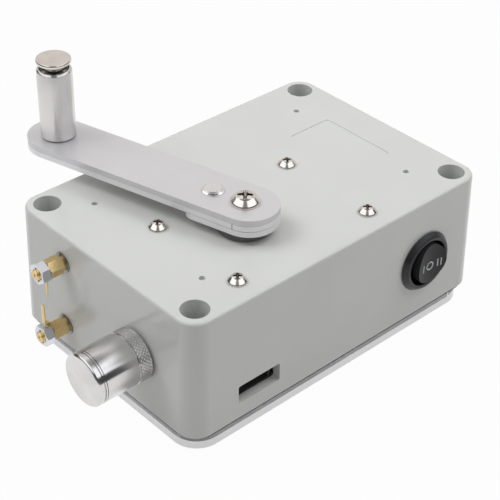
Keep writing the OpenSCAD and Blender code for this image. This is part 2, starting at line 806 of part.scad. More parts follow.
module handle_sleeve() color([0.76, 0.75, 0.74]) {
    r = sleeve_d / 2;
    bore_r = spindle_d / 2 + turning;
    on_crank() translate([crank_r, 0, 0]) rotate_extrude() polygon([[bore_r, z_sleeve], [r - 0.3, z_sleeve],
        [r, z_sleeve + 0.3], [r, z_sleeve_top - 0.5], [r - 0.5, z_sleeve_top], [r - 1, z_sleeve_top],
        [r - 1, z_sleeve_top - 1.6], [bore_r, z_sleeve_top - 1.6]]);
}

// The switch is drawn with its axis on Z and 0 at the wall, and then turned out of the -Y face
module on_switch() {
    translate([switch_x, y_switch, z_switch]) out_y() children();
}

module switch_body() color([0.09, 0.09, 0.10]) {
    on_switch() difference() {
        union() {
            rotate_extrude() polygon([[0, 0], [bezel_d / 2, 0], [bezel_d / 2, 0.5 * bezel_t],
                [bezel_d / 2 - 0.5 * bezel_t, bezel_t], [0, bezel_t]]);
            rod(switch_hole_d - 0.2, -switch_depth, 0.1);
        }
        rod(bezel_bore, -switch_depth + 2.5, bezel_t + 1);
        translate([0, 0, -rocker_pivot]) rotate([90, 0, 0])
            rod(2.4 + 2 * turning, -bezel_bore / 2 - 0.5, bezel_bore / 2 + 0.5);
        switch_blade_places() translate([-0.5, -2.5, -switch_depth - 1]) cube([1, 5, 5]);
    }
}

module switch_blade_places() {
    for (x = [-5.6, 0, 5.6]) translate([x, 0, 0]) children();
}

// The rocker is the overlap of two rounds and a shallow V, with two short pins
module switch_rocker() color([0.10, 0.10, 0.11]) {
    r = bezel_bore / 2 - free;
    lens = 0.9;
    on_switch() {
        intersection() {
            translate([lens, 0, 0]) rod(2 * r, -8, 8);
            translate([-lens, 0, 0]) rod(2 * r, -8, 8);
            rotate([90, 0, 0]) translate([0, 0, -r]) linear_extrude(2 * r) polygon([[-r, bezel_t + 2.6],
                [-0.45 * r, bezel_t + 0.9], [0, bezel_t + 0.6], [0.45 * r, bezel_t + 0.9], [r, bezel_t + 2.6],
                [r, -1.5], [2.5, -5.5], [-2.5, -5.5], [-r, -1.5]]);
        }
        translate([0, 0, -rocker_pivot]) rotate([90, 0, 0]) rod(2.4, -bezel_bore / 2 - 0.35, bezel_bore / 2 + 0.35);
    }
}

module switch_blades() color([0.80, 0.80, 0.78]) {
    on_switch() switch_blade_places() translate([-0.4, -2.4, -switch_depth - 8]) cube([0.8, 4.8, 10]);
}

// The potentiometer and the knob are drawn with their axis on Z and 0 at the inner wall
module on_pot() {
    translate([-inner_x, y_knob, z_knob]) out_x() children();
}

pot_depth = 8.5;
pot_wall = face_x(z_knob) - inner_x + 0.1;
pot_nut_z = pot_wall + 0.6;
knob_z = face_x(z_knob) - inner_x + knob_gap;

module pot_body() color([0.36, 0.37, 0.39]) {
    on_pot() difference() {
        union() {
            rod(pot_d, -pot_depth, 0);
            rod(pot_bush_d, -0.5, knob_z + knob_hollow_l - 1);
        }
        rod(pot_shaft_d + 2 * turning, -pot_depth + 2, 30);
        pot_tab_places() translate([-1.1, -2.1, -0.5]) cube([2.2, 5, 1]);
    }
}

module pot_tab_places() {
    for (x = [-4.2, 0, 4.2]) translate([x, 0.45 * pot_d, -4]) children();
}

module pot_tabs() color([0.82, 0.80, 0.70]) {
    on_pot() pot_tab_places() translate([-1, -2, -0.4]) cube([2, 7.2, 0.8]);
}

module pot_nut() color([0.78, 0.78, 0.77]) {
    on_pot() {
        tube(pot_bush_d + 4, pot_bush_d + 2 * seat, pot_wall, pot_nut_z);
        hex_piece(pot_bush_d + 3, pot_bush_d + 2 * seat, pot_nut_z - 0.3, pot_nut_z + 2);
    }
}

module pot_shaft() color([0.80, 0.80, 0.78]) {
    on_pot() rod(pot_shaft_d, -pot_depth + 2.3, knob_z + knob_l - 4.2);
}

module knob() color([0.80, 0.80, 0.81]) {
    r = knob_d / 2;
    h = knob_hollow_d / 2;
    b = pot_shaft_d / 2 + seat;
    lip = knob_l - 2.6;
    on_pot() translate([0, 0, knob_z]) rotate_extrude() polygon([[h, 0], [r - 0.3, 0], [r, 0.3], [r, band_l],
        [r - 0.3, band_l + 0.15], [r - 0.3, band_l + 0.55], [r, band_l + 0.7], [r, lip],
        [r - 0.25, lip + 0.1], [r - 0.25, lip + 0.4], [r, lip + 0.5], [r, knob_l - 0.6], [r - 0.5, knob_l],
        [0, knob_l], [0, knob_l - 4], [b, knob_l - 4], [b, knob_hollow_l], [h, knob_hollow_l]]);
}

// A terminal is drawn with its axis on Z and 0 at the outer wall face
module on_terminal(z) {
    translate([-face_x(z) - washer_d / 2 * slope(), y_terminal, z]) out_x() children();
}

module each_terminal() {
    for (z = [z_upper, z_lower]) on_terminal(z) children();
}

barrel_z = washer_t + 0.5;
nut_z = barrel_z + barrel_l + tag_t;
inner_z = -wall_t - draft;

module terminal_studs() color([0.80, 0.62, 0.30]) {
    each_terminal() {
        difference() {
            turned_ends(stud_d, 0.4, inner_z - 7, nut_z + nut_t + nut_travel);
            rod(0.8, nut_z + nut_t + nut_travel - 0.6, nut_z + nut_t + nut_travel + 1);
        }
    }
}

module terminal_washers() color([0.76, 0.73, 0.66]) {
    for (z = [z_upper, z_lower]) on_terminal(z) {
        tube(washer_d, stud_d + 0.2, 0, washer_t);
        translate([0, 0, -face_x(z) - washer_d / 2 * slope() + inner_x]) tube(washer_d, stud_d + 0.2, -washer_t, 0);
    }
}

module terminal_barrels() color([0.78, 0.60, 0.28]) {
    each_terminal() {
        rotate(12) hex_piece(barrel_af, stud_d + 2 * seat, barrel_z, barrel_z + barrel_l);
        tube(stud_d + 1.2, stud_d + 2 * seat, washer_t, barrel_z);
    }
}

module terminal_inner_nuts() color([0.76, 0.75, 0.72]) {
    for (z = [z_upper, z_lower]) on_terminal(z)
        translate([0, 0, -face_x(z) - washer_d / 2 * slope() + inner_x - washer_t])
        hex_piece(nut_af, stud_d + 2 * seat, -2.6, 0);
}

module outer_nut(turn) {
    rotate(turn) hex_piece(nut_af, stud_d + 2 * turning, nut_z, nut_z + nut_t);
}

module upper_nut() color([0.82, 0.82, 0.82]) {
    on_terminal(z_upper) outer_nut(38);
}

module lower_nut() color([0.82, 0.82, 0.82]) {
    on_terminal(z_lower) outer_nut(8);
}

// A thin ring under each outer nut, with a tail that points up or down along the face
module lead_tags() color([0.78, 0.62, 0.32]) {
    ring_z = nut_z - tag_t;
    tail = nut_af / 2 + 0.9;
    tail_w = 1.6;
    on_terminal(z_upper) {
        tube(nut_af - 1, stud_d + 0.2, ring_z, ring_z + tag_t);
        translate([0, 0, ring_z]) linear_extrude(tag_t)
            polygon([[-2.6, -tail_w / 2], [-10.6, -0.3], [-10.6, 0.3], [-2.6, tail_w / 2]]);
    }
    on_terminal(z_lower) {
        tube(nut_af - 1, stud_d + 0.2, ring_z, ring_z + tag_t);
        translate([2.6, -tail_w / 2, ring_z]) cube([tail - 2.6, tail_w, tag_t]);
        translate([tail, -tail_w / 2, ring_z]) cube([tag_t, tail_w, 2.2]);
        translate([tail, -tail_w / 2, ring_z + 2.2 - tag_t]) cube([12.8 - tail, tail_w, tag_t]);
    }
}

module usb_board() color([0.10, 0.36, 0.20]) {
    difference() {
        translate([usb_board_mid[0], usb_board_mid[1], z_usb_board]) slab(usb_board_l, usb_board_w, 0.8, board_t);
        for (p = usb_post_at) at(p) rod(2.4, z_usb_board - 1, z_usb_top + 1);
    }
}

module usb_posts() color([0.88, 0.87, 0.83]) {
    for (p = usb_post_at) at(p) tube(5, 2 + 2 * turning, cover_floor, z_usb_board);
}

module usb_socket() color([0.13, 0.13, 0.14]) {
    difference() {
        translate([usb_x - socket_w / 2, -inner_y + 0.2, z_usb_top]) cube([socket_w, socket_l, socket_h]);
        translate([usb_x - socket_w / 2 + 0.9, -inner_y - 1, z_usb_top + 0.7]) cube([socket_w - 1.8, socket_l - 1, socket_h - 1.4]);
    }
}

module usb_tongue() color([0.90, 0.90, 0.88]) {
    translate([usb_x - socket_w / 2 + 1.6, -inner_y + 1.6, z_usb + 0.2]) cube([socket_w - 3.2, socket_l - 3.6, 1.8]);
}

module power_board() color([0.10, 0.34, 0.20]) {
    difference() {
        translate([0, board_mid_y, z_board]) slab(board_l, board_width, 1, board_t);
        for (s = [-1, 1]) translate([s * pit_dx / 2, pit_dy / 2, 0]) rod(3, z_board - 1, z_board + board_t + 1);
    }
}

module board_screws() color([0.76, 0.75, 0.73]) {
    for (p = usb_post_at) translate([p[0], p[1], z_usb_top]) pan_screw(4, 1.5, 2, board_t + 5);
    for (s = [-1, 1]) translate([s * pit_dx / 2, pit_dy / 2, z_board]) rotate([180, 0, 0])
        pan_screw(5, 1.8, 2.4, board_t + 4.4);
}

module capacitors() color([0.12, 0.14, 0.30]) {
    for (x = [-30, -14]) translate([x * pit_fit, board_mid_y, 0])
        turned_ends(cap_d * fit, 0.8, z_board - cap_l, z_board);
}

module inductor() color([0.72, 0.42, 0.20]) {
    translate([7 * pit_fit, board_mid_y, z_board - 4]) rotate_extrude() translate([6.4 * fit, 0]) circle(3.4 * fit);
    translate([7 * pit_fit, board_mid_y, 0]) rod(9 * fit, z_board - 4, z_board);
}

module rectifier() color([0.14, 0.14, 0.15]) {
    translate([-43.5 * pit_fit, board_mid_y - 9 * fit, z_board - 12]) cube([4.6, 18 * fit, 12]);
}

module heat_sink() color([0.70, 0.71, 0.73]) {
    along = 24 * pit_fit;
    translate([20 * pit_fit, board_mid_y - 7.5 * fit, z_board - 20]) {
        cube([along, 3, 20]);
        for (i = [0:5]) translate([i * (along - 1.5) / 5, 2, 0]) cube([1.5, 15 * fit - 2, 20]);
    }
}

// A round wire swept along a smooth curve through a few points
function spline(p, i, t) =
    let (a = p[max(i - 1, 0)], b = p[i], c = p[i + 1], d = p[min(i + 2, len(p) - 1)])
    0.5 * (2 * b + (c - a) * t + (2 * a - 5 * b + 4 * c - d) * t * t + (3 * b - a - 3 * c + d) * t * t * t);
function smooth(p, steps) = concat([for (i = [0:len(p) - 2], k = [0:steps - 1]) spline(p, i, k / steps)], [p[len(p) - 1]]);
function unit(v) = v / norm(v);
// Each ring is square to the way the wire runs, and carries its side direction on from the last
function sides(dirs, i) = i == 0
    ? unit(cross(dirs[0], abs(dirs[0][2]) < 0.9 ? [0, 0, 1] : [1, 0, 0]))
    : let (s = sides(dirs, i - 1)) unit(s - (s * dirs[i]) * dirs[i]);

module wire(points, steps = 4) {
    line = smooth(points, steps);
    last = len(line) - 1;
    n = 8;
    ends = len(points) - 1;
    dirs = [for (i = [0:last]) unit(i == 0 ? points[1] - points[0]
        : i == last ? points[ends] - points[ends - 1] : line[i + 1] - line[i - 1])];
    verts = [for (i = [0:last], k = [0:n - 1])
        let (s = sides(dirs, i))
        let (u = cross(dirs[i], s))
        line[i] + wire_d / 2 * (s * cos(360 * k / n) + u * sin(360 * k / n))];
    quads = [for (i = [0:last - 1], k = [0:n - 1])
        [i * n + k, i * n + (k + 1) % n, (i + 1) * n + (k + 1) % n, (i + 1) * n + k]];
    polyhedron(verts, concat([[for (k = [n - 1:-1:0]) k]], quads, [[for (k = [0:n - 1]) last * n + k]]));
}

// Where the wires start and end
z_solder = z_board - 0.02;
tab_x = 0.27 * can_width;
z_tab = z_can_base - 1.7;
y_can_edge = rotor_at[1] + can_width / 2 + 2.2;
y_blade = y_switch + switch_depth + 8.02;
x_stud = -face_x(z_upper) - washer_d / 2 * slope() - inner_z + 7.02;
x_stud_low = -face_x(z_lower) - washer_d / 2 * slope() - inner_z + 7.02;
x_tab = -inner_x + 4;
y_tab = y_knob + 0.45 * pot_d + 5.22;
board_edge_y = max(board_mid_y - board_width / 2 + 2, y_can_edge + 0.5);

// From a tab of the generator, under its end cap and up to the board
module generator_wire(side, x) {
    start_x = rotor_at[0] + side * tab_x;
    wire([[start_x, rotor_at[1] + 0.32, z_tab], [start_x, rotor_at[1] + 9, z_tab],
        [start_x, y_can_edge, z_tab + 0.5], [(start_x + x) / 2, y_can_edge + 2, z_tab + 9],
        [x, board_edge_y, z_solder - 10], [x, board_edge_y, z_solder]]);
}

// From a blade of the switch to the board
module switch_wire(blade, x) {
    start_x = switch_x + blade;
    wire([[start_x, y_blade, z_switch], [start_x, y_blade + 5, z_switch],
        [start_x, -4, z_switch + 2], [x, board_edge_y - 2, z_solder - 9],
        [x, board_edge_y, z_solder - 4], [x, board_edge_y, z_solder]]);
}

// From a tab of the potentiometer to the board
module pot_wire(tab, x) {
    z = z_knob + tab;
    wire([[x_tab, y_tab, z], [x_tab, y_tab + 4, z], [x_tab + 5, board_edge_y - 8, z + 1.5],
        [x - 2, board_edge_y - 2, z_solder - 5], [x, board_edge_y, z_solder - 2.6], [x, board_edge_y, z_solder]]);
}

// From the USB board to the power board, past the end of the gearbox
module usb_wire(from, x) {
    start_x = min(usb_board_mid[0] + from, rotor_at[0] - can_width / 2 - 8 + from);
    start_y = usb_board_mid[1] + 8.7 * fit;
    wire([[start_x, start_y, z_usb_top + 0.02], [start_x, start_y, z_usb_top + 4],
        [start_x - 1, start_y + 8, z_usb_top + 8], [x, board_edge_y - 6, z_plate_a - 8],
        [x, board_edge_y, z_solder - 6], [x, board_edge_y, z_solder]]);
}

module red_wires() color([0.75, 0.10, 0.08]) {
    generator_wire(1, 0);
    switch_wire(-5.6, switch_x - 9);
    switch_wire(5.6, switch_x + 6);
    pot_wire(4.2, x_tab + 18);
    usb_wire(6, min(usb_board_mid[0] + 4, rotor_at[0] - can_width / 2 - 4));
    wire([[x_stud, y_terminal, z_upper], [x_stud + 3, y_terminal, z_upper], [x_stud + 7, y_terminal - 3, z_upper - 4],
        [x_stud + 10, board_edge_y, z_solder - 4], [x_stud + 11, board_edge_y, z_solder - 2.4],
        [x_stud + 11, board_edge_y, z_solder]]);
}

module black_wires() color([0.08, 0.08, 0.09]) {
    generator_wire(-1, -6);
    switch_wire(0, switch_x - 1.5);
    pot_wire(0, x_tab + 22);
    usb_wire(2, min(usb_board_mid[0], rotor_at[0] - can_width / 2 - 8));
    wire([[x_stud_low, y_terminal, z_lower], [x_stud_low + 5, y_terminal, z_lower],
        [x_stud_low + 8, y_terminal + 4, z_lower + 9], [x_stud_low + 9, pit_dy / 2 + 4.5, z_solder - 9],
        [x_stud_low + 9, pit_dy / 2 + 4.5, z_solder]]);
}

housing();
clear_cover();
gasket();
cover_screws();
gearbox_top_plate();
gearbox_bottom_plate();
gearbox_spacers();
gearbox_screws();
gearbox_nuts();
upper_bearing();
lower_bush();
input_gear();
idler_wheel();
idler_pinion();
idler_pin();
generator_can();
generator_magnets();
generator_end_cap();
generator_tabs();
generator_brushes();
generator_screws();
armature();
generator_shaft();
generator_pinion();
crank_shaft();
hub_collar();
hub_plate();
arm_lower_plate();
arm_top_plate();
arm_rivet();
crank_screw();
handle_spindle();
handle_sleeve();
switch_body();
switch_rocker();
switch_blades();
pot_body();
pot_tabs();
pot_nut();
pot_shaft();
knob();
terminal_studs();
terminal_washers();
terminal_barrels();
terminal_inner_nuts();
upper_nut();
lower_nut();
lead_tags();
usb_board();
usb_posts();
usb_socket();
usb_tongue();
power_board();
board_screws();
capacitors();
inductor();
rectifier();
heat_sink();
red_wires();
black_wires();
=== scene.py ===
"""The looks of a hand crank generator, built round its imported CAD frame."""

import math

import bmesh
import bpy
from bpy.props import FloatProperty, FloatVectorProperty, PointerProperty
from mathutils import Matrix, Vector


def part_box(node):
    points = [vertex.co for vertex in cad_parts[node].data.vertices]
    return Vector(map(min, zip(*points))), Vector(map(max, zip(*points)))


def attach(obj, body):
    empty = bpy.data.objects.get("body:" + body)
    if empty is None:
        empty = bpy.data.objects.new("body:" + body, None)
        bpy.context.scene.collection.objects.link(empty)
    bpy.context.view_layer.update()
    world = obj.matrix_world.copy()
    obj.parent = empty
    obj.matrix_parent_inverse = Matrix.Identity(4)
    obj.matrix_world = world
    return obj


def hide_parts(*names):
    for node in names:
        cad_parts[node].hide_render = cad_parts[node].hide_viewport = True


bl_info = {
    "name": "Hand crank generator",
    "version": (1, 0, 0),
    "blender": (4, 5, 0),
    "location": "View3D > Sidebar > Generator",
    "description": "Builds the case, crank, switch, knob and terminals of a hand crank generator",
    "category": "Add Mesh",
}

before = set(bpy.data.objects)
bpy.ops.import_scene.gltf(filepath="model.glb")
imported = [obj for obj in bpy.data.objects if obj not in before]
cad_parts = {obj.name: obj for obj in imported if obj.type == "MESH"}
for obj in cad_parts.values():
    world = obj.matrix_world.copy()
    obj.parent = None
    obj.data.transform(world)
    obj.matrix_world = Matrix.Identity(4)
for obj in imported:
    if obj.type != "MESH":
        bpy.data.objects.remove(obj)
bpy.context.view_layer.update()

MM = 0.001
PAST = 1 * MM  # how far a cutter reaches past the face that it cuts
NEAR = 0.01 * MM  # two places closer than this are the same
UPRIGHT = Matrix.Identity(4)
OUT_X = Matrix.Rotation(math.radians(-90), 4, "Y")
OUT_Y = Matrix.Rotation(math.radians(90), 4, "X")


def length(name, text, default):
    """A size in metres, given in millimetres."""
    return FloatProperty(name=name, description=text, default=default * MM, min=0, precision=5,
                         subtype="DISTANCE", unit="LENGTH")


def paint(name, text, default):
    """A linear colour."""
    return FloatVectorProperty(name=name, description=text, default=default, size=3, min=0, max=1,
                               subtype="COLOR")


class CaseSettings(bpy.types.PropertyGroup):
    """Sizes and colours of the case and the clear cover."""

    wall: length("Wall", "Thickness of the case's walls and top", 2.5)
    draft: length("Draft", "How far the rim stands out from the top", 0.8)
    corner: length("Corner", "Radius of the upright corners", 7.2)
    top_edge: length("Top edge", "Rounding of the top edge", 1.2)
    soft_edge: length("Soft edge", "Rounding of the moulded edges of the holes", 0.25)
    sill: length("Sill", "Rounding of the lower edge of the USB slot", 0.7)
    well_inset: length("Well inset", "Distance of each corner well from the edges of the top", 7.5)
    well_bore: length("Well bore", "Radius of the corner wells", 4.8)
    well_wall: length("Well wall", "Wall of the corner wells", 2.0)
    well_floor: length("Well floor", "Thickness of the floor of the wells", 5.0)
    pit_radius: length("Pit", "Radius of the four small pits", 1.1)
    recess_depth: length("Recess", "Depth of the shallow label recess", 0.2)
    cover_corner: length("Cover corner", "Radius of the clear cover's corners", 9.8)
    cover_floor: length("Cover floor", "Thickness of the clear cover's floor", 2.6)
    # The groove only makes room for the grey skirt, a sheet of painted shade seen through the cover.
    groove: length("Groove", "Height of the floor of the groove that holds the gasket's skirt", 1.7)
    # The gasket is real; its lip past the cover also paints the shade under the case's rim.
    seal_lip: length("Seal lip", "How far the squeezed gasket stands out past the cover", 0.8)
    plastic: paint("Case plastic", "Colour of the case", (0.655, 0.665, 0.645))
    clear: paint("Clear plastic", "Tint of the clear cover", (0.955, 0.945, 0.96))


class CrankSettings(bpy.types.PropertyGroup):
    """Sizes and colours of the crank arm, its screws and the handle."""

    hub_over: length("Hub end", "How far the round hub end is moved out past the shaft", 1.5)
    handle_over: length("Handle end", "How far the round handle end is moved out past the handle", 0.69)
    hub_plate: length("Hub plate", "Length of the short hub plate beyond the shaft", 18.5)
    plate_edge: length("Plate edge", "Rounding of the edges of the arm's plates", 0.3)
    bore: length("Sleeve bore", "Radius of the bore of the handle sleeve", 3.05)
    counterbore: length("Counterbore", "Radius of the recess in the top of the sleeve", 5.2)
    arm: paint("Arm", "Colour of the anodised arm", (0.705, 0.695, 0.712))
    screw: paint("Screws", "Colour of the nickel plating", (0.78, 0.73, 0.68))
    sleeve: paint("Sleeve", "Colour of the polished sleeve", (0.72, 0.70, 0.69))


class PanelSettings(bpy.types.PropertyGroup):
    """Sizes and colours of the switch, the knob and the terminals."""

    bezel_bore: length("Bezel bore", "Radius of the opening of the switch", 8.8)
    bezel_depth: length("Bezel depth", "Thickness of the bezel of the switch", 2.0)
    rocker_hollow: length("Rocker hollow", "Radius of the hollow of the rocker", 18.3)
    knurl_depth: length("Knurl", "Depth of the knurl on the knob", 0.2)
    band: length("Band", "Length of the knurled band of the knob", 4.6)
    switch: paint("Switch", "Colour of the switch", (0.020, 0.020, 0.022))
    marks: paint("Marks", "Colour of the marks on the rocker", (0.55, 0.56, 0.57))
    knob: paint("Knob", "Colour of the turned knob", (0.70, 0.685, 0.68))
    brass: paint("Brass", "Colour of the brass", (0.78, 0.58, 0.28))
    nut: paint("Nuts", "Colour of the plated nuts", (0.68, 0.69, 0.73))


class StudioSettings(bpy.types.PropertyGroup):
    """The lamps and the camera."""

    left: FloatProperty(name="Left lamp", description="Power of the soft lamp at the left",
                        default=3.2, min=0, unit="POWER")
    right: FloatProperty(name="Right lamp", description="Power of the soft lamp at the right",
                         default=2.7, min=0, unit="POWER")
    sky: FloatProperty(name="Surroundings", description="Strength of the white surroundings",
                       default=0.45, min=0)
    lens: FloatProperty(name="Lens", description="Focal length in millimetres", default=102.465, min=1)


def case_sizes():
    return bpy.context.scene.generator_case


def crank_sizes():
    return bpy.context.scene.generator_crank


def panel_sizes():
    return bpy.context.scene.generator_panel


# Modelling helpers


def clear_selection():
    if bpy.context.object and bpy.context.object.mode != "OBJECT":
        bpy.ops.object.mode_set(mode="OBJECT")
    bpy.ops.object.select_all(action="DESELECT")


def take(made):
    """Selects one object alone and makes it active."""
    clear_selection()
    made.select_set(True)
    bpy.context.view_layer.objects.active = made
    return made


def start_editing(made, everything=False):
    take(made)
    bpy.ops.object.mode_set(mode="EDIT")
    bpy.ops.mesh.select_mode(type="VERT")
    bpy.ops.mesh.select_all(action="SELECT" if everything else "DESELECT")


def stop_editing():
    bpy.ops.object.mode_set(mode="OBJECT")


def pick(made, kind, test):
    """In edit mode, selects the vertices, edges or faces that pass a test."""
    bpy.ops.mesh.select_mode(type={"verts": "VERT", "edges": "EDGE", "faces": "FACE"}[kind])
    bpy.ops.mesh.select_all(action="DESELECT")
    mesh = bmesh.from_edit_mesh(made.data)
    for item in getattr(mesh, kind):
        if test(item):
            item.select_set(True)
    bmesh.update_edit_mesh(made.data)


def placed(x=0, y=0, z=0, facing=UPRIGHT, turn=0):
    """The move that turns a shape round Z in degrees, faces it outwards and takes it to a place."""
    return Matrix.Translation((x, y, z)) @ facing @ Matrix.Rotation(math.radians(turn), 4, "Z")


def beside(radius, height, *offsets):
    """Points of a profile, given in millimetres out and up from one of its corners."""
    return [(radius + out * MM, height + up * MM) for out, up in offsets]


def apply_place(made, place=None):
    """Turns and moves a shape to its place, and puts that into its mesh."""
    take(made)
    if place is not None:
        made.matrix_world = place @ made.matrix_world
    bpy.ops.object.transform_apply(location=True, rotation=True, scale=True)
    return made


def box(name, low, high):
    """A block between two corners."""
    clear_selection()
    low, high = Vector(low), Vector(high)
    bpy.ops.mesh.primitive_cube_add(size=1, location=(low + high) / 2, scale=high - low)
    made = bpy.context.object
    made.name = name
    return apply_place(made)


def is_upright(edge):
    return abs(edge.verts[0].co.z - edge.verts[1].co.z) > NEAR


def weld(limit=NEAR / 10):
    """In edit mode, joins the vertices that fell on the same place."""
    bpy.ops.mesh.select_all(action="SELECT")
    bpy.ops.mesh.remove_doubles(threshold=limit)


def rounded_box(name, low, high, corner, steps=10):
    """A block whose upright edges are rounded."""
    made = box(name, low, high)
    start_editing(made)
    pick(made, "edges", is_upright)
    bpy.ops.mesh.bevel(offset=corner, segments=steps, affect="EDGES", clamp_overlap=False)
    weld()
    stop_editing()
    return made


def turned(name, rings, segments=64, closed=False):
    """Turns a profile of radii and heights round Z. A closed profile returns to its start."""
    clear_selection()
    radius, height = rings[0]
    bpy.ops.mesh.primitive_circle_add(vertices=segments, radius=radius, location=(0, 0, height))
    made = bpy.context.object
    made.name = name
    apply_place(made)
    start_editing(made, everything=True)
    for next_radius, next_height in list(rings[1:]) + (list(rings[:1]) if closed else []):
        bpy.ops.mesh.extrude_region_move(TRANSFORM_OT_translate={"value": (0, 0, next_height - height)})
        share = next_radius / radius
        bpy.ops.transform.resize(value=(share, share, 1), center_override=(0, 0, next_height))
        radius, height = next_radius, next_height
    bpy.ops.mesh.select_all(action="SELECT")
    if closed:
        weld(NEAR / 100)
    else:
        bpy.ops.mesh.fill_holes(sides=0)
    bpy.ops.mesh.select_all(action="SELECT")
    bpy.ops.mesh.normals_make_consistent(inside=False)
    stop_editing()
    return made


def rod(name, radius, low, high, at=(0, 0), segments=64):
    """A plain round cutter or filler between two heights."""
    made = turned(name, [(radius, low), (radius, high)], segments)
    return apply_place(made, placed(*at))


def hexagon(name, across, low, high, chamfer):
    """A hexagon bar whose corners are turned off at both ends."""
    corner = across / 2 / math.cos(math.radians(30))
    made = rod(name, corner, low, high, segments=6)
    slope = chamfer * 0.55
    blank = turned("blank", [(corner - chamfer, low), (corner + NEAR, low + slope),
                             (corner + NEAR, high - slope), (corner - chamfer, high)], 96)
    return carve(made, blank, "INTERSECT")


def modify(made, kind, **settings):
    """Gives a shape one modifier and applies it."""
    take(made)
    step = made.modifiers.new("step", kind)
    for key, value in settings.items():
        setattr(step, key, value)
    bpy.ops.object.modifier_apply(modifier=step.name)
    return made


def carve(made, cutter, operation="DIFFERENCE"):
    """Cuts, adds or keeps the overlap of another shape, which is used up."""
    modify(made, "BOOLEAN", object=cutter, operation=operation, solver="EXACT")
    bpy.data.objects.remove(cutter)
    return made


def soften(made, width, steps=2, angle=35):
    """Rounds every edge that is sharper than an angle."""
    return modify(made, "BEVEL", width=width, segments=steps, limit_method="ANGLE",
                  angle_limit=math.radians(angle), use_clamp_overlap=True)


def hollow_ring(made, thickness):
    """Takes a block's top and bottom away and gives its sides a thickness inwards."""
    start_editing(made)
    pick(made, "faces", lambda f: abs(f.normal.z) > 0.9)
    bpy.ops.mesh.delete(type="FACE")
    stop_editing()
    return modify(made, "SOLIDIFY", thickness=thickness, offset=-1, use_even_offset=True)


def even_normals(made):
    """Keeps large flat faces flat beside small rounded ones."""
    return modify(made, "WEIGHTED_NORMAL", keep_sharp=True)


def twin(made, name, place):
    """A copy with its own mesh at another place."""
    copy = made.copy()
    copy.data = made.data.copy()
    copy.name = name
    bpy.context.scene.collection.objects.link(copy)
    return apply_place(copy, place)


def together(name, parts):
    """Joins several shapes into one piece."""
    clear_selection()
    for part in parts:
        part.select_set(True)
    bpy.context.view_layer.objects.active = parts[0]
    if len(parts) > 1:
        bpy.ops.object.join()
    made = bpy.context.object
    made.name = name
    return made


def settle(made, body, material, stands_for=(), angle=35):
    """Gives a finished piece its shading, its material and its place in the frame."""
    apply_place(made)
    bpy.ops.object.shade_smooth_by_angle(angle=math.radians(angle))
    made.data.name = made.name
    made.data.materials.clear()
    made.data.materials.append(material)
    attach(made, body)
    if stands_for:
        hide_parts(*stands_for)
    return made


# Places that are read from the frame


def middle(node):
    low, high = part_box(node)
    return (low + high) / 2


def crank_line():
    """The crank's axis, the distance to the handle's axis and the turn that lays +X along the arm."""
    pivot, handle = middle("hub_collar"), middle("handle_sleeve")
    run = handle - pivot
    turn = placed(pivot.x, pivot.y, turn=math.degrees(math.atan2(run.y, run.x)))
    return pivot, math.hypot(run.x, run.y), turn


def four(x, y):
    """Four places round the middle."""
    return [(side * x, end * y) for side in (-1, 1) for end in (-1, 1)]


def grid_of(node, head):
    """The four places of a node's screws, whose heads have a radius."""
    low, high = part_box(node)
    return [(x, y) for x in (low.x + head, high.x - head) for y in (low.y + head, high.y - head)]


# Materials


def add_node(tree, kind, inputs=None, **settings):
    made = tree.nodes.new("ShaderNode" + kind)
    for key, value in settings.items():
        setattr(made, key, value)
    for key, value in (inputs or {}).items():
        if isinstance(value, bpy.types.NodeSocket):
            tree.links.new(value, made.inputs[key])
        else:
            made.inputs[key].default_value = value
    return made


def start_material(name):
    material = bpy.data.materials.new(name)
    material.use_nodes = True
    tree = material.node_tree
    return material, tree, tree.nodes["Principled BSDF"]


def shades(tree, factor, low, high, start=0.35, end=0.65):
    """A ramp between two colours."""
    ramp = add_node(tree, "ValToRGB", {"Fac": factor})
    ramp.color_ramp.elements[0].position = start
    ramp.color_ramp.elements[0].color = (*low, 1)
    ramp.color_ramp.elements[1].position = end
    ramp.color_ramp.elements[1].color = (*high, 1)
    return ramp.outputs["Color"]


def scaled(colour, share):
    return tuple(min(1.0, c * share) for c in colour)


def object_place(tree, stretch=(1, 1, 1), shift=(0, 0, 0), turn=(0, 0, 0)):
    """Object coordinates, stretched or moved to suit a pattern."""
    place = add_node(tree, "TexCoord").outputs["Object"]
    return add_node(tree, "Mapping", {"Vector": place, "Scale": stretch, "Location": shift,
                                      "Rotation": turn}).outputs["Vector"]


def between(tree, value, low, high, start=0.0, end=1.0):
    """Runs from low to high while a value runs from start to end."""
    return add_node(tree, "MapRange", {"Value": value, "From Min": start, "From Max": end, "To Min": low,
                                       "To Max": high}).outputs["Result"]


def roughness_from(tree, shader, factor, low, high):
    tree.links.new(between(tree, factor, low, high), shader.inputs["Roughness"])


def relief(tree, shader, height, depth):
    """A bump of a real depth in metres."""
    bump = add_node(tree, "Bump", {"Height": height, "Distance": depth, "Strength": 1.0})
    tree.links.new(bump.outputs["Normal"], shader.inputs["Normal"])


def lathe_sheen(tree, shader, axis, amount):
    """Draws the highlights out along an axis, as the fine rings of a lathe do."""
    around = add_node(tree, "Tangent", direction_type="RADIAL", axis=axis)
    tree.links.new(around.outputs["Tangent"], shader.inputs["Tangent"])
    shader.inputs["Anisotropic"].default_value = amount
    shader.inputs["Anisotropic Rotation"].default_value = 0.25


def noise(tree, place, scale, detail=2.0):
    return add_node(tree, "TexNoise", {"Vector": place, "Scale": scale, "Detail": detail}).outputs["Fac"]


def reckon(tree, operation, *values, kind="Math", output=0):
    """A node that works out one number or one vector."""
    return add_node(tree, kind, dict(enumerate(values)), operation=operation).outputs[output]


def height_of(tree, vector):
    return add_node(tree, "SeparateXYZ", {0: vector}).outputs["Z"]


def dimmed(tree, tint, part):
    return add_node(tree, "VectorMath", {0: tint, "Scale": part}, operation="SCALE").outputs["Vector"]


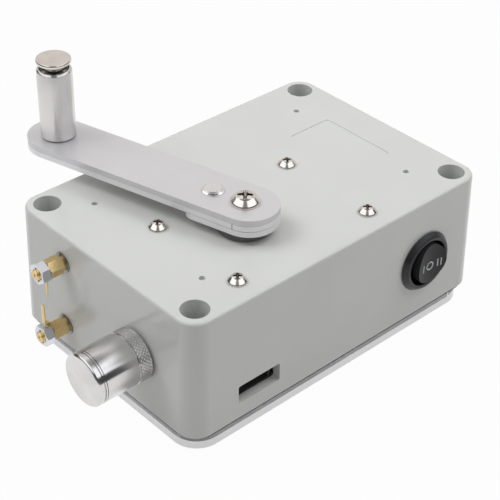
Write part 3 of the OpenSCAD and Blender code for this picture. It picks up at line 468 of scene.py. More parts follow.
def set_inputs(shader, **values):
    for key, value in values.items():
        shader.inputs[key.replace("_", " ")].default_value = value


def painted_core_shade(tree, tint, centre, radius, share, top=1.0):
    """Darkens a colour within a radius of an upright axis and below a height: painted shade inside a recess and
    under a ledge.
    """
    place = add_node(tree, "TexCoord").outputs["Object"]
    moved = reckon(tree, "SUBTRACT", place, centre, kind="VectorMath")
    level = reckon(tree, "MULTIPLY", moved, (1, 1, 0), kind="VectorMath")
    away = reckon(tree, "LENGTH", level, kind="VectorMath", output="Value")
    part = between(tree, away, share, 1.0, radius, radius + 0.1 * MM)
    above = reckon(tree, "GREATER_THAN", height_of(tree, place), top)
    return dimmed(tree, tint, reckon(tree, "MAXIMUM", part, above))


def painted_side_shade(tree, tint, share):
    """Darkens the upright sides of a flat plate, more as a face turns upright: painted shade."""
    flat = reckon(tree, "ABSOLUTE", height_of(tree, add_node(tree, "NewGeometry").outputs["Normal"]))
    return dimmed(tree, tint, between(tree, flat, share, 1.0, 0.3, 0.95))


def painted_recess_shade(tree, tint, level, share):
    """Darkens the upright faces above a height, which are the sides of a screw's recess: painted shade."""
    lean = height_of(tree, add_node(tree, "NewGeometry").outputs["Normal"])
    height = height_of(tree, add_node(tree, "TexCoord").outputs["Object"])
    pit = reckon(tree, "MULTIPLY", reckon(tree, "LESS_THAN", lean, 0.45),
                 reckon(tree, "GREATER_THAN", height, level))
    return dimmed(tree, tint, between(tree, pit, 1.0, share))


def moulded_plastic(name, colour, rough=0.38, grain=0.00001, texture=3500.0, unevenness=0.02, **sockets):
    """Moulded plastic with a fine skin texture and a slight cloudiness of colour."""
    material, tree, shader = start_material(name)
    place = object_place(tree)
    skin, cloud = noise(tree, place, texture, 3.0), noise(tree, place, 45.0)
    tree.links.new(shades(tree, cloud, scaled(colour, 1 - unevenness), scaled(colour, 1 + unevenness)),
                   shader.inputs["Base Color"])
    roughness_from(tree, shader, skin, rough - 0.05, rough + 0.05)
    relief(tree, shader, skin, grain)
    set_inputs(shader, **sockets)
    return material


def worked_metal(name, colour, rough=0.3, grain=0.000008, texture=2500.0, stretch=(1, 1, 1), unevenness=0.05,
                 spread=0.08, core=None, sheen=None, edge=None, pit=None, metallic=1.0):
    """Metal with tool marks along one direction, and stains too faint to name; where asked, with painted shade
    in a core, on upright sides and in a recess.
    """
    material, tree, shader = start_material(name)
    marks = noise(tree, object_place(tree, stretch), texture, 4.0)
    stain = noise(tree, object_place(tree), 120.0, 3.0)
    tint = shades(tree, stain, scaled(colour, 1 - unevenness), scaled(colour, 1 + unevenness))
    # core: painted shade within a radius of an upright axis
    if core:
        tint = painted_core_shade(tree, tint, *core)
    # edge: painted shade on upright sides
    if edge:
        tint = painted_side_shade(tree, tint, edge)
    # pit: painted shade on the sides of a screw's recess
    if pit:
        tint = painted_recess_shade(tree, tint, *pit)
    tree.links.new(tint, shader.inputs["Base Color"])
    roughness_from(tree, shader, marks, rough - spread / 2, rough + spread / 2)
    relief(tree, shader, marks, grain)
    if sheen:
        lathe_sheen(tree, shader, *sheen)
    set_inputs(shader, Metallic=metallic)
    return material


def lathe_metal(name, colour, centre, turn, rough=0.2, pitch=0.00025, core=None, sheen=None):
    """Metal with the fine rings that a lathe leaves round an axis; where asked, with painted shade in a core.
    """
    material, tree, shader = start_material(name)
    place = add_node(tree, "TexCoord").outputs["Object"]
    moved = reckon(tree, "SUBTRACT", place, centre, kind="VectorMath")
    laid = add_node(tree, "Mapping", {"Vector": moved, "Rotation": turn}).outputs["Vector"]
    wave = {"Vector": laid, "Scale": 0.31 / pitch, "Distortion": 0.6, "Detail": 2.0}
    rings = add_node(tree, "TexWave", wave, wave_type="RINGS", rings_direction="Z").outputs["Fac"]
    tint = shades(tree, noise(tree, place, 160.0, 3.0), scaled(colour, 0.95), scaled(colour, 1.04))
    # core: painted shade within a radius of an upright axis
    if core:
        tint = painted_core_shade(tree, tint, *core)
    if sheen:
        lathe_sheen(tree, shader, *sheen)
    tree.links.new(tint, shader.inputs["Base Color"])
    roughness_from(tree, shader, rings, rough - 0.04, rough + 0.05)
    relief(tree, shader, rings, 0.000004)
    set_inputs(shader, Metallic=1.0)
    return material


def clear_plastic(name, colour):
    """Clear moulded plastic with faint flow marks."""
    material, tree, shader = start_material(name)
    flow = noise(tree, object_place(tree, (1, 1, 4)), 90.0)
    tree.links.new(shades(tree, flow, scaled(colour, 0.97), colour), shader.inputs["Base Color"])
    roughness_from(tree, shader, flow, 0.03, 0.09)
    relief(tree, shader, flow, 0.000003)
    set_inputs(shader, Transmission_Weight=1.0, IOR=1.5)
    return material


def circuit_board(name, mask, track):
    """Solder mask over a pattern of copper tracks."""
    material, tree, shader = start_material(name)
    place = object_place(tree)
    tracks = add_node(tree, "TexBrick", {"Vector": place, "Scale": 260.0, "Mortar Size": 0.06,
                                         "Color1": (*mask, 1), "Color2": (*scaled(mask, 0.85), 1),
                                         "Mortar": (*track, 1)})
    tracks.offset = 0.37
    tree.links.new(tracks.outputs["Color"], shader.inputs["Base Color"])
    roughness_from(tree, shader, noise(tree, place, 900.0), 0.22, 0.34)
    relief(tree, shader, tracks.outputs["Fac"], 0.00003)
    return material


def wound_copper(name, colour):
    """Varnished copper wire wound side by side."""
    material, tree, shader = start_material(name)
    wave = {"Vector": object_place(tree), "Scale": 620.0, "Distortion": 0.8, "Detail": 1.0}
    turns = add_node(tree, "TexWave", wave, wave_type="BANDS", bands_direction="DIAGONAL").outputs["Fac"]
    tree.links.new(shades(tree, turns, scaled(colour, 0.45), colour, 0.1, 0.8), shader.inputs["Base Color"])
    relief(tree, shader, turns, 0.0002)
    set_inputs(shader, Metallic=0.8, Roughness=0.33)
    return material


def nickel(name, pit=None):
    return worked_metal(name, crank_sizes().screw, 0.17, 0.000006, 1500.0, unevenness=0.06, pit=pit)


_finishes = {}


def finish(name):
    """Each finish is made once, when a piece first asks for it."""
    if name not in _finishes:
        _finishes[name] = FINISHES[name](name)
    return _finishes[name]


# After the colour: roughness, depth of the grain in metres, number of its bumps per metre, and unevenness
FINISHES = {
    "case plastic": lambda n: moulded_plastic(n, case_sizes().plastic, 0.17, 0.000003, 4200.0, 0.012),
    "clear plastic": lambda n: clear_plastic(n, case_sizes().clear),
    "seal rubber": lambda n: moulded_plastic(n, (0.035, 0.035, 0.037), 0.75, 0.00003, 1800.0),
    # A grey sheet inside the clear cover: painted shade.
    "seal skirt": lambda n: moulded_plastic(n, (0.34, 0.32, 0.34), 0.6, 0.00003, 1500.0, 0.12),
    "black moulding": lambda n: moulded_plastic(n, (0.028, 0.028, 0.030), 0.45, 0.00002, 2500.0),
    "switch plastic": lambda n: moulded_plastic(n, panel_sizes().switch, 0.36, 0.00001, 3200.0,
                                                Specular_IOR_Level=0.36),
    "rocker plastic": lambda n: moulded_plastic(n, scaled(panel_sizes().switch, 1.4), 0.48, 0.00001, 3200.0,
                                                Specular_IOR_Level=0.22),
    "mark paint": lambda n: moulded_plastic(n, panel_sizes().marks, 0.5, 0.000004, 5000.0),
    "natural nylon": lambda n: moulded_plastic(n, (0.70, 0.69, 0.64), 0.42, 0.00002, 1500.0,
                                               Subsurface_Weight=0.15),
    "red insulation": lambda n: moulded_plastic(n, (0.45, 0.02, 0.015), 0.35, 0.00001, 1800.0),
    "black insulation": lambda n: moulded_plastic(n, (0.02, 0.02, 0.022), 0.35, 0.00001, 1800.0),
    "capacitor film": lambda n: moulded_plastic(n, (0.02, 0.03, 0.12), 0.22, 0.00002, 500.0),
    "ferrite": lambda n: moulded_plastic(n, (0.05, 0.05, 0.055), 0.62, 0.00003, 2600.0, 0.12),
    "collar plastic": lambda n: moulded_plastic(n, (0.085, 0.087, 0.085), 0.42, 0.00002, 2500.0),
    # The top plate's upright sides are darkened: painted shade.
    "anodised arm": lambda n: worked_metal(n, crank_sizes().arm, 0.36, 0.000006, 5200.0, unevenness=0.012,
                                           spread=0.06, edge=0.93, metallic=0.5),
    # The hub and lower plates get the arm's colour made lighter: painted light on their sides.
    "anodised edge": lambda n: worked_metal(n, scaled(crank_sizes().arm, 1.17), 0.36, 0.000006, 5200.0,
                                            unevenness=0.02, spread=0.06, metallic=0.5),
    "nickel plate": nickel,
    # The gearbox and crank screws get painted shade in their cross recesses.
    "gearbox screw plate": lambda n: nickel(n, (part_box("housing")[1].z + 0.7 * MM, 0.35)),
    "crank screw plate": lambda n: nickel(n, (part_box("arm_top_plate")[1].z + 1.0 * MM, 0.35)),
    "bare rivet": lambda n: worked_metal(n, (0.85, 0.83, 0.82), 0.2, 0.000006, unevenness=0.02),
    # The sleeve's bore and counterbore are darkened: painted shade.
    "polished sleeve": lambda n: worked_metal(n, crank_sizes().sleeve, 0.25, 0.000006, 2600.0, (1, 1, 0.12),
                                              0.03, 0.04, (middle("handle_sleeve"), 5.25 * MM, 0.45),
                                              ("Z", 0.95)),
    "zinc plate": lambda n: worked_metal(n, (0.62, 0.62, 0.60), 0.32, 0.00001, 700.0, (1, 8, 1), 0.08),
    "ground steel": lambda n: worked_metal(n, (0.62, 0.62, 0.62), 0.22, 0.000006, 1800.0, (1, 1, 6)),
    "machined steel": lambda n: worked_metal(n, (0.50, 0.49, 0.47), 0.34, 0.00001, 1600.0, (1, 1, 5)),
    "sintered bronze": lambda n: worked_metal(n, (0.50, 0.35, 0.18), 0.46, 0.00003, 4200.0, unevenness=0.12),
    "turned brass": lambda n: worked_metal(n, panel_sizes().brass, 0.28, 0.000008, 2200.0, (6, 1, 1), 0.06,
                                           metallic=0.8),
    "plated nut": lambda n: worked_metal(n, panel_sizes().nut, 0.2, 0.000006, 1700.0, (4, 1, 1), 0.03),
    "dull washer": lambda n: worked_metal(n, (0.27, 0.27, 0.27), 0.3, 0.000008, 1700.0, (4, 1, 1)),
    "tinned metal": lambda n: worked_metal(n, (0.70, 0.69, 0.63), 0.36, 0.00002, 800.0),
    "extruded aluminium": lambda n: worked_metal(n, (0.55, 0.56, 0.58), 0.40, 0.00002, 1500.0, (1, 1, 0.1)),
    "wound copper": lambda n: wound_copper(n, (0.60, 0.26, 0.12)),
    "circuit board": lambda n: circuit_board(n, (0.012, 0.095, 0.035), (0.03, 0.19, 0.07)),
    "black board": lambda n: circuit_board(n, (0.012, 0.012, 0.014), (0.03, 0.03, 0.033)),
    "turned knob": lambda n: lathe_metal(n, panel_sizes().knob, middle("knob"), (0, math.radians(90), 0),
                                         0.19, sheen=("X", 0.9)),
    # The spindle near its axis below the disc is darkened: painted shade under the disc.
    "turned disc": lambda n: lathe_metal(n, crank_sizes().screw, middle("handle_spindle"), (0, 0, 0),
                                         0.22, 0.0003, (middle("handle_spindle"), 4.6 * MM, 0.55,
                                                        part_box("handle_spindle")[1].z - 1.2 * MM)),
}

# The frame nodes that keep their own shape, under the finish that they get
KEPT_NODES = {
    "zinc plate": ["gearbox_top_plate", "gearbox_bottom_plate", "gearbox_spacers", "generator_can",
                   "pot_body"],
    "nickel plate": ["gearbox_nuts", "generator_screws", "board_screws"],
    "sintered bronze": ["upper_bearing", "lower_bush"],
    "machined steel": ["input_gear", "idler_pinion"],
    "natural nylon": ["idler_wheel", "usb_posts"],
    "ground steel": ["idler_pin", "generator_shaft", "crank_shaft", "pot_shaft"],
    "ferrite": ["generator_magnets", "generator_brushes"],
    "black moulding": ["generator_end_cap", "rectifier"],
    "turned brass": ["generator_tabs", "generator_pinion"],
    "wound copper": ["armature"],
    "tinned metal": ["switch_blades", "pot_tabs"],
    "plated nut": ["pot_nut", "terminal_inner_nuts"],
    "black board": ["usb_board"],
    "circuit board": ["power_board"],
    "extruded aluminium": ["heat_sink"],
    "red insulation": ["red_wires"],
    "black insulation": ["black_wires"],
}

# Radii of the holes for the bought-in pieces
SCREW_HOLE, STUD_HOLE, BUSH_HOLE, BEARING_HOLE, SWITCH_HOLE = (
    r * MM for r in (1.95, 2.1, 3.6, 8.02, 10.05))


class GENERATOR_OT_case(bpy.types.Operator):
    """Moulds the grey case with its wells, pits, recess and openings"""

    bl_idname = "generator.case"
    bl_label = "Case"

    def execute(self, context):
        sizes = case_sizes()
        low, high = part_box("housing")
        top = Vector((high.x - sizes.draft, high.y - sizes.draft))
        made = rounded_box("case", (-top.x, -top.y, low.z), (top.x, top.y, high.z), sizes.corner, 14)
        start_editing(made)
        pick(made, "faces", lambda f: f.normal.z > 0.9)
        bpy.ops.mesh.region_to_loop()
        bpy.ops.mesh.bevel(offset=sizes.top_edge, segments=6, affect="EDGES")
        pick(made, "verts", lambda v: v.co.z < low.z + NEAR)
        bpy.ops.transform.resize(value=(high.x / top.x, high.y / top.y, 1), center_override=(0, 0, low.z))
        stop_editing()
        inner = top - Vector((sizes.wall, sizes.wall))
        roof, ceiling = high.z + PAST, high.z - sizes.wall
        carve(made, rounded_box("cavity", (-inner.x, -inner.y, low.z - 2 * PAST), (inner.x, inner.y, ceiling),
                                sizes.corner - sizes.wall, 8))
        wells = four(top.x - sizes.well_inset, top.y - sizes.well_inset)
        posts = four(47.5 * MM, 27.9 * MM)
        joint = ceiling + PAST / 2
        for at in wells:
            carve(made, rod("well", sizes.well_bore + sizes.well_wall, low.z, joint, at), "UNION")
        for at in posts:
            carve(made, rod("post", 3 * MM, ceiling - 6 * MM, joint, at, 32), "UNION")
        cutters = []
        for at in wells:
            floor = low.z + sizes.well_floor
            cutters.append(rod("cut", sizes.well_bore, floor, roof, at))
            carve(made, rod("cut", SCREW_HOLE, low.z - PAST, floor + PAST / 2, at, 32))
        for at in posts:
            cutters.append(rod("cut", sizes.pit_radius, high.z - 1.2 * MM, roof, at, 32))
            cutters.append(rod("cut", 1.25 * MM, ceiling - 7 * MM, ceiling - PAST, at, 24))
        for at in grid_of("gearbox_screws", 3.3 * MM):
            cutters.append(rod("cut", SCREW_HOLE, ceiling - PAST, roof, at, 32))
        cutters.append(rod("cut", BEARING_HOLE, ceiling - PAST, roof, middle("upper_bearing").xy))
        switch, knob = middle("switch_body"), middle("knob")
        front, side = (inner.y - PAST, high.y + 2 * PAST), (inner.x - PAST, high.x + 2 * PAST)
        cutters.append(apply_place(rod("cut", SWITCH_HOLE, *front), placed(switch.x, 0, switch.z, OUT_Y)))
        cutters.append(apply_place(rod("cut", BUSH_HOLE, *side), placed(0, knob.y, knob.z, OUT_X)))
        for nut in (middle("upper_nut"), middle("lower_nut")):
            cutters.append(apply_place(rod("cut", STUD_HOLE, *side, segments=32),
                                       placed(0, nut.y, nut.z, OUT_X)))
        slot = middle("usb_socket") + Vector((-0.5, 0, 0.5)) * MM
        half_wide, half_tall = 9.1 * MM, 3.5 * MM
        mouth = rounded_box("cut", (-half_wide, -half_tall, front[0]), (half_wide, half_tall, front[1]),
                            0.7 * MM, 4)
        cutters.append(apply_place(mouth, placed(slot.x, 0, slot.z, OUT_Y)))
        for cutter in cutters:
            carve(made, cutter)
        start_editing(made)
        pick(made, "edges", lambda e: all(
            abs(v.co.x - slot.x) < half_wide - 0.3 * MM and v.co.y < 0.6 * MM - top.y
            and abs(v.co.z - slot.z + half_tall) < 2 * NEAR for v in e.verts))
        bpy.ops.mesh.bevel(offset=sizes.sill, segments=4, affect="EDGES")
        stop_editing()
        soften(made, sizes.soft_edge, 2, 40)
        label, half = Vector((42.4, 0.2)) * MM, Vector((19.5, 31.8)) * MM / 2
        carve(made, rounded_box("recess", (*(label - half), high.z - sizes.recess_depth),
                                (*(label + half), roof), 1.5 * MM, 6))
        settle(made, "case", finish("case plastic"), ["housing"], 32)
        even_normals(made)
        return {"FINISHED"}


class GENERATOR_OT_cover(bpy.types.Operator):
    """Moulds the clear base cover with its corner bosses, and the gasket, with a grey skirt inside the cover
    that is painted shade
    """

    bl_idname = "generator.cover"
    bl_label = "Clear cover"

    def execute(self, context):
        sizes = case_sizes()
        low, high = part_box("clear_cover")
        made = rounded_box("clear_cover_shell", low, high, sizes.cover_corner, 14)
        wall, play, roof = 2.6 * MM, 0.3 * MM, high.z + PAST

        def slab(name, inset, low_z, high_z, corner):
            return rounded_box(name, (low.x + inset, low.y + inset, low_z),
                               (high.x - inset, high.y - inset, high_z), corner, 10)

        carve(made, hollow_ring(slab("groove", wall, sizes.groove, roof, sizes.cover_corner - wall), play))
        inset = wall + play / 2
        carve(made, slab("hollow", inset, sizes.cover_floor, roof, sizes.cover_corner - inset))
        for at in grid_of("cover_screws", 3.5 * MM):
            carve(made, rod("boss", 4.5 * MM, sizes.cover_floor - PAST / 2, high.z, at, 48), "UNION")
            carve(made, rod("pilot", 1.8 * MM, 1.4 * MM, roof, at, 32))
        soften(made, 0.15 * MM, 2, 40)
        settle(made, "case", finish("clear plastic"), ["clear_cover"], 32)
        even_normals(made)

        foot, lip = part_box("gasket")[0].z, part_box("gasket")[1].z
        # The gasket is real; its black lip past the cover also paints the shade under the case's rim.
        seal = hollow_ring(slab("gasket_body", -sizes.seal_lip, foot, lip, 8.2 * MM),
                           sizes.seal_lip + wall + 0.25 * MM)
        settle(soften(seal, 0.15 * MM, 2, 40), "case", finish("seal rubber"), ["gasket"], 32)
        # The skirt is a grey sheet down the inside of the cover's wall: painted shade seen through the clear
        # plastic.
        skirt = hollow_ring(slab("gasket_skirt", wall + 0.02 * MM, sizes.groove + 0.02 * MM, foot,
                                 sizes.cover_corner - wall), 0.25 * MM)
        settle(skirt, "case", finish("seal skirt"))
        return {"FINISHED"}


def cross_screw(name, head, height, shank, run, thread=0.0):
    """A pan head screw that stands on z = 0, with a cross recess and rings of thread at its end."""
    rings = [(shank - 0.5 * MM, -run), (shank, 0.5 * MM - run)]
    depth = 0.5 * MM - run
    while thread and depth < thread - run:
        rings += beside(shank, depth, (-0.28, 0.3), (0, 0.6))
        depth += 0.6 * MM
    edge, rim = head * 0.955, height * 0.17 + head * 0.0965
    crown = 1.2497 * head - 0.9557 * height
    rise = crown * math.tan(math.radians(9.5))
    rings += [(shank, 0), (head * 0.97, 0), (head, height * 0.04), (head, height * 0.17), (edge, rim)]
    depth, reach = height - rim - rise, edge - crown
    for share in (0.06, 0.3, 0.5, 0.7, 0.94):
        rings.append((edge - reach * share, rim + depth * (share + 0.08 * share * (1 - share))))
    rings.append((crown, height - rise))
    dome = crown / math.sin(math.radians(19))
    for lean in (17, 13, 9, 5, 2):
        lean = math.radians(lean)
        rings.append((dome * math.sin(lean), height - dome * (1 - math.cos(lean))))
    made = turned(name, rings, 64)
    floor, end, half = height * 0.3, crown + head * 0.06, head * 0.15
    for turn in (0, 90):
        arm = rounded_box("recess", (-end, -half, floor), (end, half, height * 1.3), head * 0.12, 4)
        start_editing(arm)
        pick(arm, "faces", lambda f: f.normal.z < -0.9)
        bpy.ops.transform.resize(value=(0.4, 0.5, 1), center_override=(0, 0, floor))
        stop_editing()
        carve(made, apply_place(arm, placed(turn=turn)))
    return carve(made, turned("recess", [(head * 0.14, floor * 0.8), (head * 0.3, height * 1.2)], 8))


def screw_set(name, node, head, seat, thread, look):
    """The four equal screws of a node, each tightened to its own turn."""
    low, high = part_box(node)
    screw = cross_screw("screw", head, high.z - seat, 1.75 * MM, seat - low.z, thread)
    row = [twin(screw, "screw", placed(x, y, seat, turn=turn))
           for (x, y), turn in zip(grid_of(node, head), (50, 41, 44, 55))]
    bpy.data.objects.remove(screw)
    settle(together(name, row), "case", finish(look), [node])


class GENERATOR_OT_screws(bpy.types.Operator):
    """Turns the cross-recess screws of the gearbox, the crank and the cover"""

    bl_idname = "generator.screws"
    bl_label = "Screws"

    def execute(self, context):
        screw_set("gearbox_screw_set", "gearbox_screws", 3.3 * MM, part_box("housing")[1].z, 7 * MM,
                  "gearbox screw plate")
        screw_set("cover_screw_set", "cover_screws", 3.5 * MM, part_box("cover_screws")[1].z - 2.4 * MM, 8 * MM,
                  "nickel plate")
        pivot = crank_line()[0]
        low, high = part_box("crank_screw")
        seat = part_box("arm_top_plate")[1].z
        screw = cross_screw("crank_screw_head", 5 * MM, high.z - seat, 2.5 * MM, seat - low.z)
        apply_place(screw, placed(pivot.x, pivot.y, seat, turn=46))
        settle(screw, "crank", finish("crank screw plate"), ["crank_screw"])
        return {"FINISHED"}


def plate(name, start, end, half, low, high, near, far):
    """A flat strip along X with its own corner rounding at each end."""
    made = box(name, (start, -half, low), (end, half, high))
    start_editing(made)
    for place, corner in ((start, near), (end, far)):
        if corner:
            pick(made, "edges", lambda e: is_upright(e) and all(
                abs(v.co.x - place) < NEAR / 10 for v in e.verts))
            bpy.ops.mesh.bevel(offset=corner, segments=24, affect="EDGES", clamp_overlap=False)
    weld()
    stop_editing()
    return made


class GENERATOR_OT_crank(bpy.types.Operator):
    """Builds the arm from its three plates, with the rivet and the black collar"""

    bl_idname = "generator.crank"
    bl_label = "Crank arm"

    def execute(self, context):
        sizes = crank_sizes()
        pivot, reach, turn = crank_line()
        half, bolt, hub_bore, rivet_x = 10.5 * MM, 2.52 * MM, 4.02 * MM, 12.6 * MM
        (base, _), lower, top = [[corner.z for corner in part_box(node)]
                                 for node in ("hub_plate", "arm_lower_plate", "arm_top_plate")]
        full = half - 2 * NEAR
        heel, tip = -half - sizes.hub_over, reach + sizes.handle_over + half

        def bores(made, low, high, hub):
            for radius, x, segments in ((hub, 0, 64), (bolt, rivet_x, 48), (bolt, reach, 48)):
                carve(made, rod("cut", radius, low - PAST, high + PAST, (x, 0), segments))
            return made

        def lay(made, look, node):
            settle(made, "crank", finish(look), [node])
            even_normals(made)

        hub = plate("hub_plate_body", heel, sizes.hub_plate, half, base, lower[0], full, 4 * MM)
        step = plate("step", heel, heel + 2 * half, half, *lower, full, full)
        seam = heel + half - 0.1 * MM
        carve(step, box("cut", (seam, -2 * half, lower[0] - PAST), (2 * half, 2 * half, lower[1] + PAST)))
        carve(hub, rod("cut", hub_bore, base - PAST, lower[1]))
        carve(step, rod("cut", hub_bore, base, lower[1] + PAST))
        carve(hub, rod("cut", bolt, base - PAST, lower[1], (rivet_x, 0), 48))
        lay(together("hub_plate_body", [apply_place(soften(part, sizes.plate_edge, 2, 40), turn)
                                        for part in (hub, step)]), "anodised edge", "hub_plate")
        made = bores(plate("arm_lower_plate_body", heel + half, tip, half, *lower, 0, full), *lower, hub_bore)
        lay(apply_place(soften(made, sizes.plate_edge, 2, 40), turn), "anodised edge", "arm_lower_plate")
        made = bores(plate("arm_top_plate_body", heel, tip, half, *top, full, full), *top, 2.6 * MM)
        lay(apply_place(soften(made, sizes.plate_edge * 1.1, 3, 40), turn), "anodised arm", "arm_top_plate")
        low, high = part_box("arm_rivet")
        tall = high.z - top[1]
        made = turned("rivet_head", [(2.5 * MM, low.z), (2.5 * MM, top[1]), (3.8 * MM, top[1])] + [
            (r * MM, top[1] + share * tall) for r, share in (
                (3.9, 0.05), (3.9, 0.27), (3.84, 0.33), (3.22, 0.54), (3.16, 0.59), (3.12, 0.88), (3.0, 0.96),
                (2.8, 1.0), (2.3, 1.0))], 72)
        apply_place(made, turn @ placed(rivet_x))
        settle(made, "crank", finish("bare rivet"), ["arm_rivet"])
        low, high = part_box("hub_collar")
        outer = (high.x - low.x) / 2
        made = turned("hub_collar_body", [(hub_bore, low.z), *beside(outer, low.z, (-0.5, 0), (0, 0.5)),
                                          (outer, high.z), (hub_bore, high.z)], 72, closed=True)
        apply_place(made, placed(pivot.x, pivot.y))
        settle(made, "crank", finish("collar plastic"), ["hub_collar"])
        return {"FINISHED"}


class GENERATOR_OT_handle(bpy.types.Operator):
    """Turns the handle's sleeve, and the spindle with its neck and disc"""

    bl_idname = "generator.handle"
    bl_label = "Handle"

    def execute(self, context):
        sizes = crank_sizes()
        at = placed(*middle("handle_sleeve").xy)
        low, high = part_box("handle_sleeve")
        r, bore, recess = (high.x - low.x) / 2, sizes.bore, sizes.counterbore
        made = turned("sleeve", [
            (bore, low.z), *beside(r, low.z, (-0.45, 0), (-0.1, 0.15), (0, 0.45)),
            *beside(r, high.z, (0, -0.76), (-0.03, -0.68), (-0.09, -0.56), (-0.3, -0.3), (-0.5, -0.08),
                    (-0.65, 0), (-0.7, 0)),
            *beside(recess, high.z, (0.12, 0), (0, -0.12), (0, -1.6)), (bore, high.z - 1.6 * MM)],
            96, closed=True)
        settle(apply_place(made, at), "handle", finish("polished sleeve"), ["handle_sleeve"])
        shoulder = high.z + 0.3 * MM
        low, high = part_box("handle_spindle")
        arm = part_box("arm_top_plate")[1].z
        disc, under = (high.x - low.x) / 2, high.z - 1.25 * MM
        made = turned("spindle", [
            (2.5 * MM, low.z), (2.5 * MM, arm), (3 * MM, arm), (3 * MM, shoulder), (4.3 * MM, shoulder),
            (4.3 * MM, under - 0.25 * MM), (4.45 * MM, under), *beside(disc, under, (-0.12, 0), (0, 0.1)),
            *beside(disc, high.z, (0, -0.5), (-0.03, -0.42), (-0.14, -0.12), (-0.2, -0.07), (-0.45, 0),
                    (-0.6, 0))], 96)
        settle(apply_place(made, at), "crank", finish("turned disc"), ["handle_spindle"])
        return {"FINISHED"}


class GENERATOR_OT_switch(bpy.types.Operator):
    """Moulds the bezel, the hollow rocker and its three marks"""

    bl_idname = "generator.switch"
    bl_label = "Rocker switch"

    def execute(self, context):
        sizes = panel_sizes()
        low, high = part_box("switch_body")
        centre = (low + high) / 2
        outer, bore, deep = (high.x - low.x) / 2, sizes.bezel_bore, sizes.bezel_depth
        back = low.y + deep
        place, across = placed(centre.x, back, centre.z, OUT_Y), Matrix.Rotation(math.radians(90), 4, "X")
        depth, barrel = back - high.y, 9.95 * MM
        body = turned("switch_bezel", [
            (bore, depth + 2.5 * MM), *beside(bore, deep, (0, -0.35), (0.1, -0.1), (0.35, 0)),
            *beside(outer, deep, (-1.6, 0), (-1.2, -0.12), (-0.95, -0.4)),
            *beside(outer, 0, (-0.1, 0.4), (0, 0.2), (-0.1, 0)), (barrel, 0), (barrel, depth)], 112)
        settle(apply_place(body, place), "case", finish("switch plastic"),
               ["switch_body"], 40)
        radius, hollow, face = bore - 0.65 * MM, sizes.rocker_hollow, deep + 0.62 * MM
        rocker = rod("rocker", radius, -3.2 * MM, deep + 2.6 * MM, (1.5 * MM, 0), 160)
        carve(rocker, rod("lens", radius, -4 * MM, deep + 4 * MM, (-0.8 * MM, 0), 160), "INTERSECT")
        dish = rod("dish", hollow, -20 * MM, 20 * MM, segments=200)
        carve(rocker, apply_place(dish, placed(z=face + hollow) @ across))
        soften(rocker, 0.4 * MM, 3, 40)
        half = bore + 0.3 * MM
        pin = apply_place(rod("pin", 1.2 * MM, -half, half, segments=32), placed(z=-2 * MM) @ across)
        rocker = together("rocker_cap", [rocker, pin])
        settle(apply_place(rocker, place), "rocker", finish("rocker plastic"),
               ["switch_rocker"], 40)
        even_normals(rocker)

        def on_dish(made, x):
            """Lays a flat mark on the hollow face."""
            lift = face + hollow - math.sqrt(hollow * hollow - x * x)
            tilt = Matrix.Rotation(-math.asin(x / hollow), 4, "Y")
            return apply_place(made, place @ placed(x, -0.85 * MM, lift) @ tilt)

        marks = []
        for x in (-3.2, 3.9, 5.3):
            bar = box("bar", (-0.25 * MM, -1.6 * MM, -0.1 * MM), (0.25 * MM, 1.6 * MM, 0.03 * MM))
            marks.append(on_dish(soften(bar, 0.03 * MM, 1), x * MM))
        ring = turned("ring", beside(0, 0, (1.25, -0.1), (1.75, -0.1), (1.75, 0.13), (1.25, 0.08)),
                      56, closed=True)
        marks.append(on_dish(ring, 0.2 * MM))
        settle(together("rocker_marks", marks), "rocker", finish("mark paint"))
        return {"FINISHED"}


class GENERATOR_OT_knob(bpy.types.Operator):
    """Turns the knob, cuts its grooves and knurls its rear band"""

    bl_idname = "generator.knob"
    bl_label = "Knob"

    def execute(self, context):
        sizes = panel_sizes()
        low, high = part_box("knob")
        centre = (low + high) / 2
        r, end = (high.z - low.z) / 2, high.x - low.x
        band, root, start = sizes.band, (high.z - low.z) / 2 - sizes.knurl_depth, 0.5 * MM
        rows, columns = 12, 180
        rise = (band - start) / rows
        rings = [(7 * MM, 0), *beside(r, 0, (-0.35, 0), (-0.1, 0.12), (-0.1, 0.5))]
        rings += [(root, start + rise * i) for i in range(rows + 1)]
        rings += beside(r, band, (-0.4, 0.1), (-0.4, 0.5), (-0.05, 0.6), (0, 0.75))
        for back, wide in ((3.3, 0.3), (2.5, 0.55)):
            rings += beside(r, end - back * MM, (0, 0), (-0.45, 0.08), (-0.45, wide - 0.08), (0, wide))
        rings += beside(r, end, (0, -0.62), (-0.07, -0.5), (-0.42, -0.08), (-0.55, 0), (-0.8, 0),
                        (-0.95, -0.05))
        made = turned("knob_body", rings, columns)
        start_editing(made)

        def raised(v):
            """Whether a vertex of the band stands between the two crossing sets of grooves."""
            row = round((v.co.z - start) / rise)
            if not 0 <= row <= rows or abs(v.co.z - start - row * rise) > NEAR / 10:
                return False
            if abs(math.hypot(v.co.x, v.co.y) - root) > 2 * NEAR:
                return False
            column = round(math.atan2(v.co.y, v.co.x) / (2 * math.pi / columns))
            return (row + column) % 4 != 0 and (row - column) % 4 != 0

        pick(made, "verts", raised)
        bpy.ops.transform.resize(value=(r / root, r / root, 1), center_override=(0, 0, 0))
        stop_editing()
        carve(made, rod("hollow", 7 * MM, -PAST, 5.2 * MM))
        carve(made, rod("bore", 3.02 * MM, 5 * MM, end - 4 * MM, segments=48))
        apply_place(made, placed(high.x, centre.y, centre.z, OUT_X))
        settle(made, "knob", finish("turned knob"), ["knob"], 28)
        return {"FINISHED"}


def flat_ring(name, bore, outer, low, high):
    """A flat ring, given in millimetres."""
    return turned(name, beside(0, 0, (bore, low), (outer, low), (outer, high), (bore, high)), 40, closed=True)


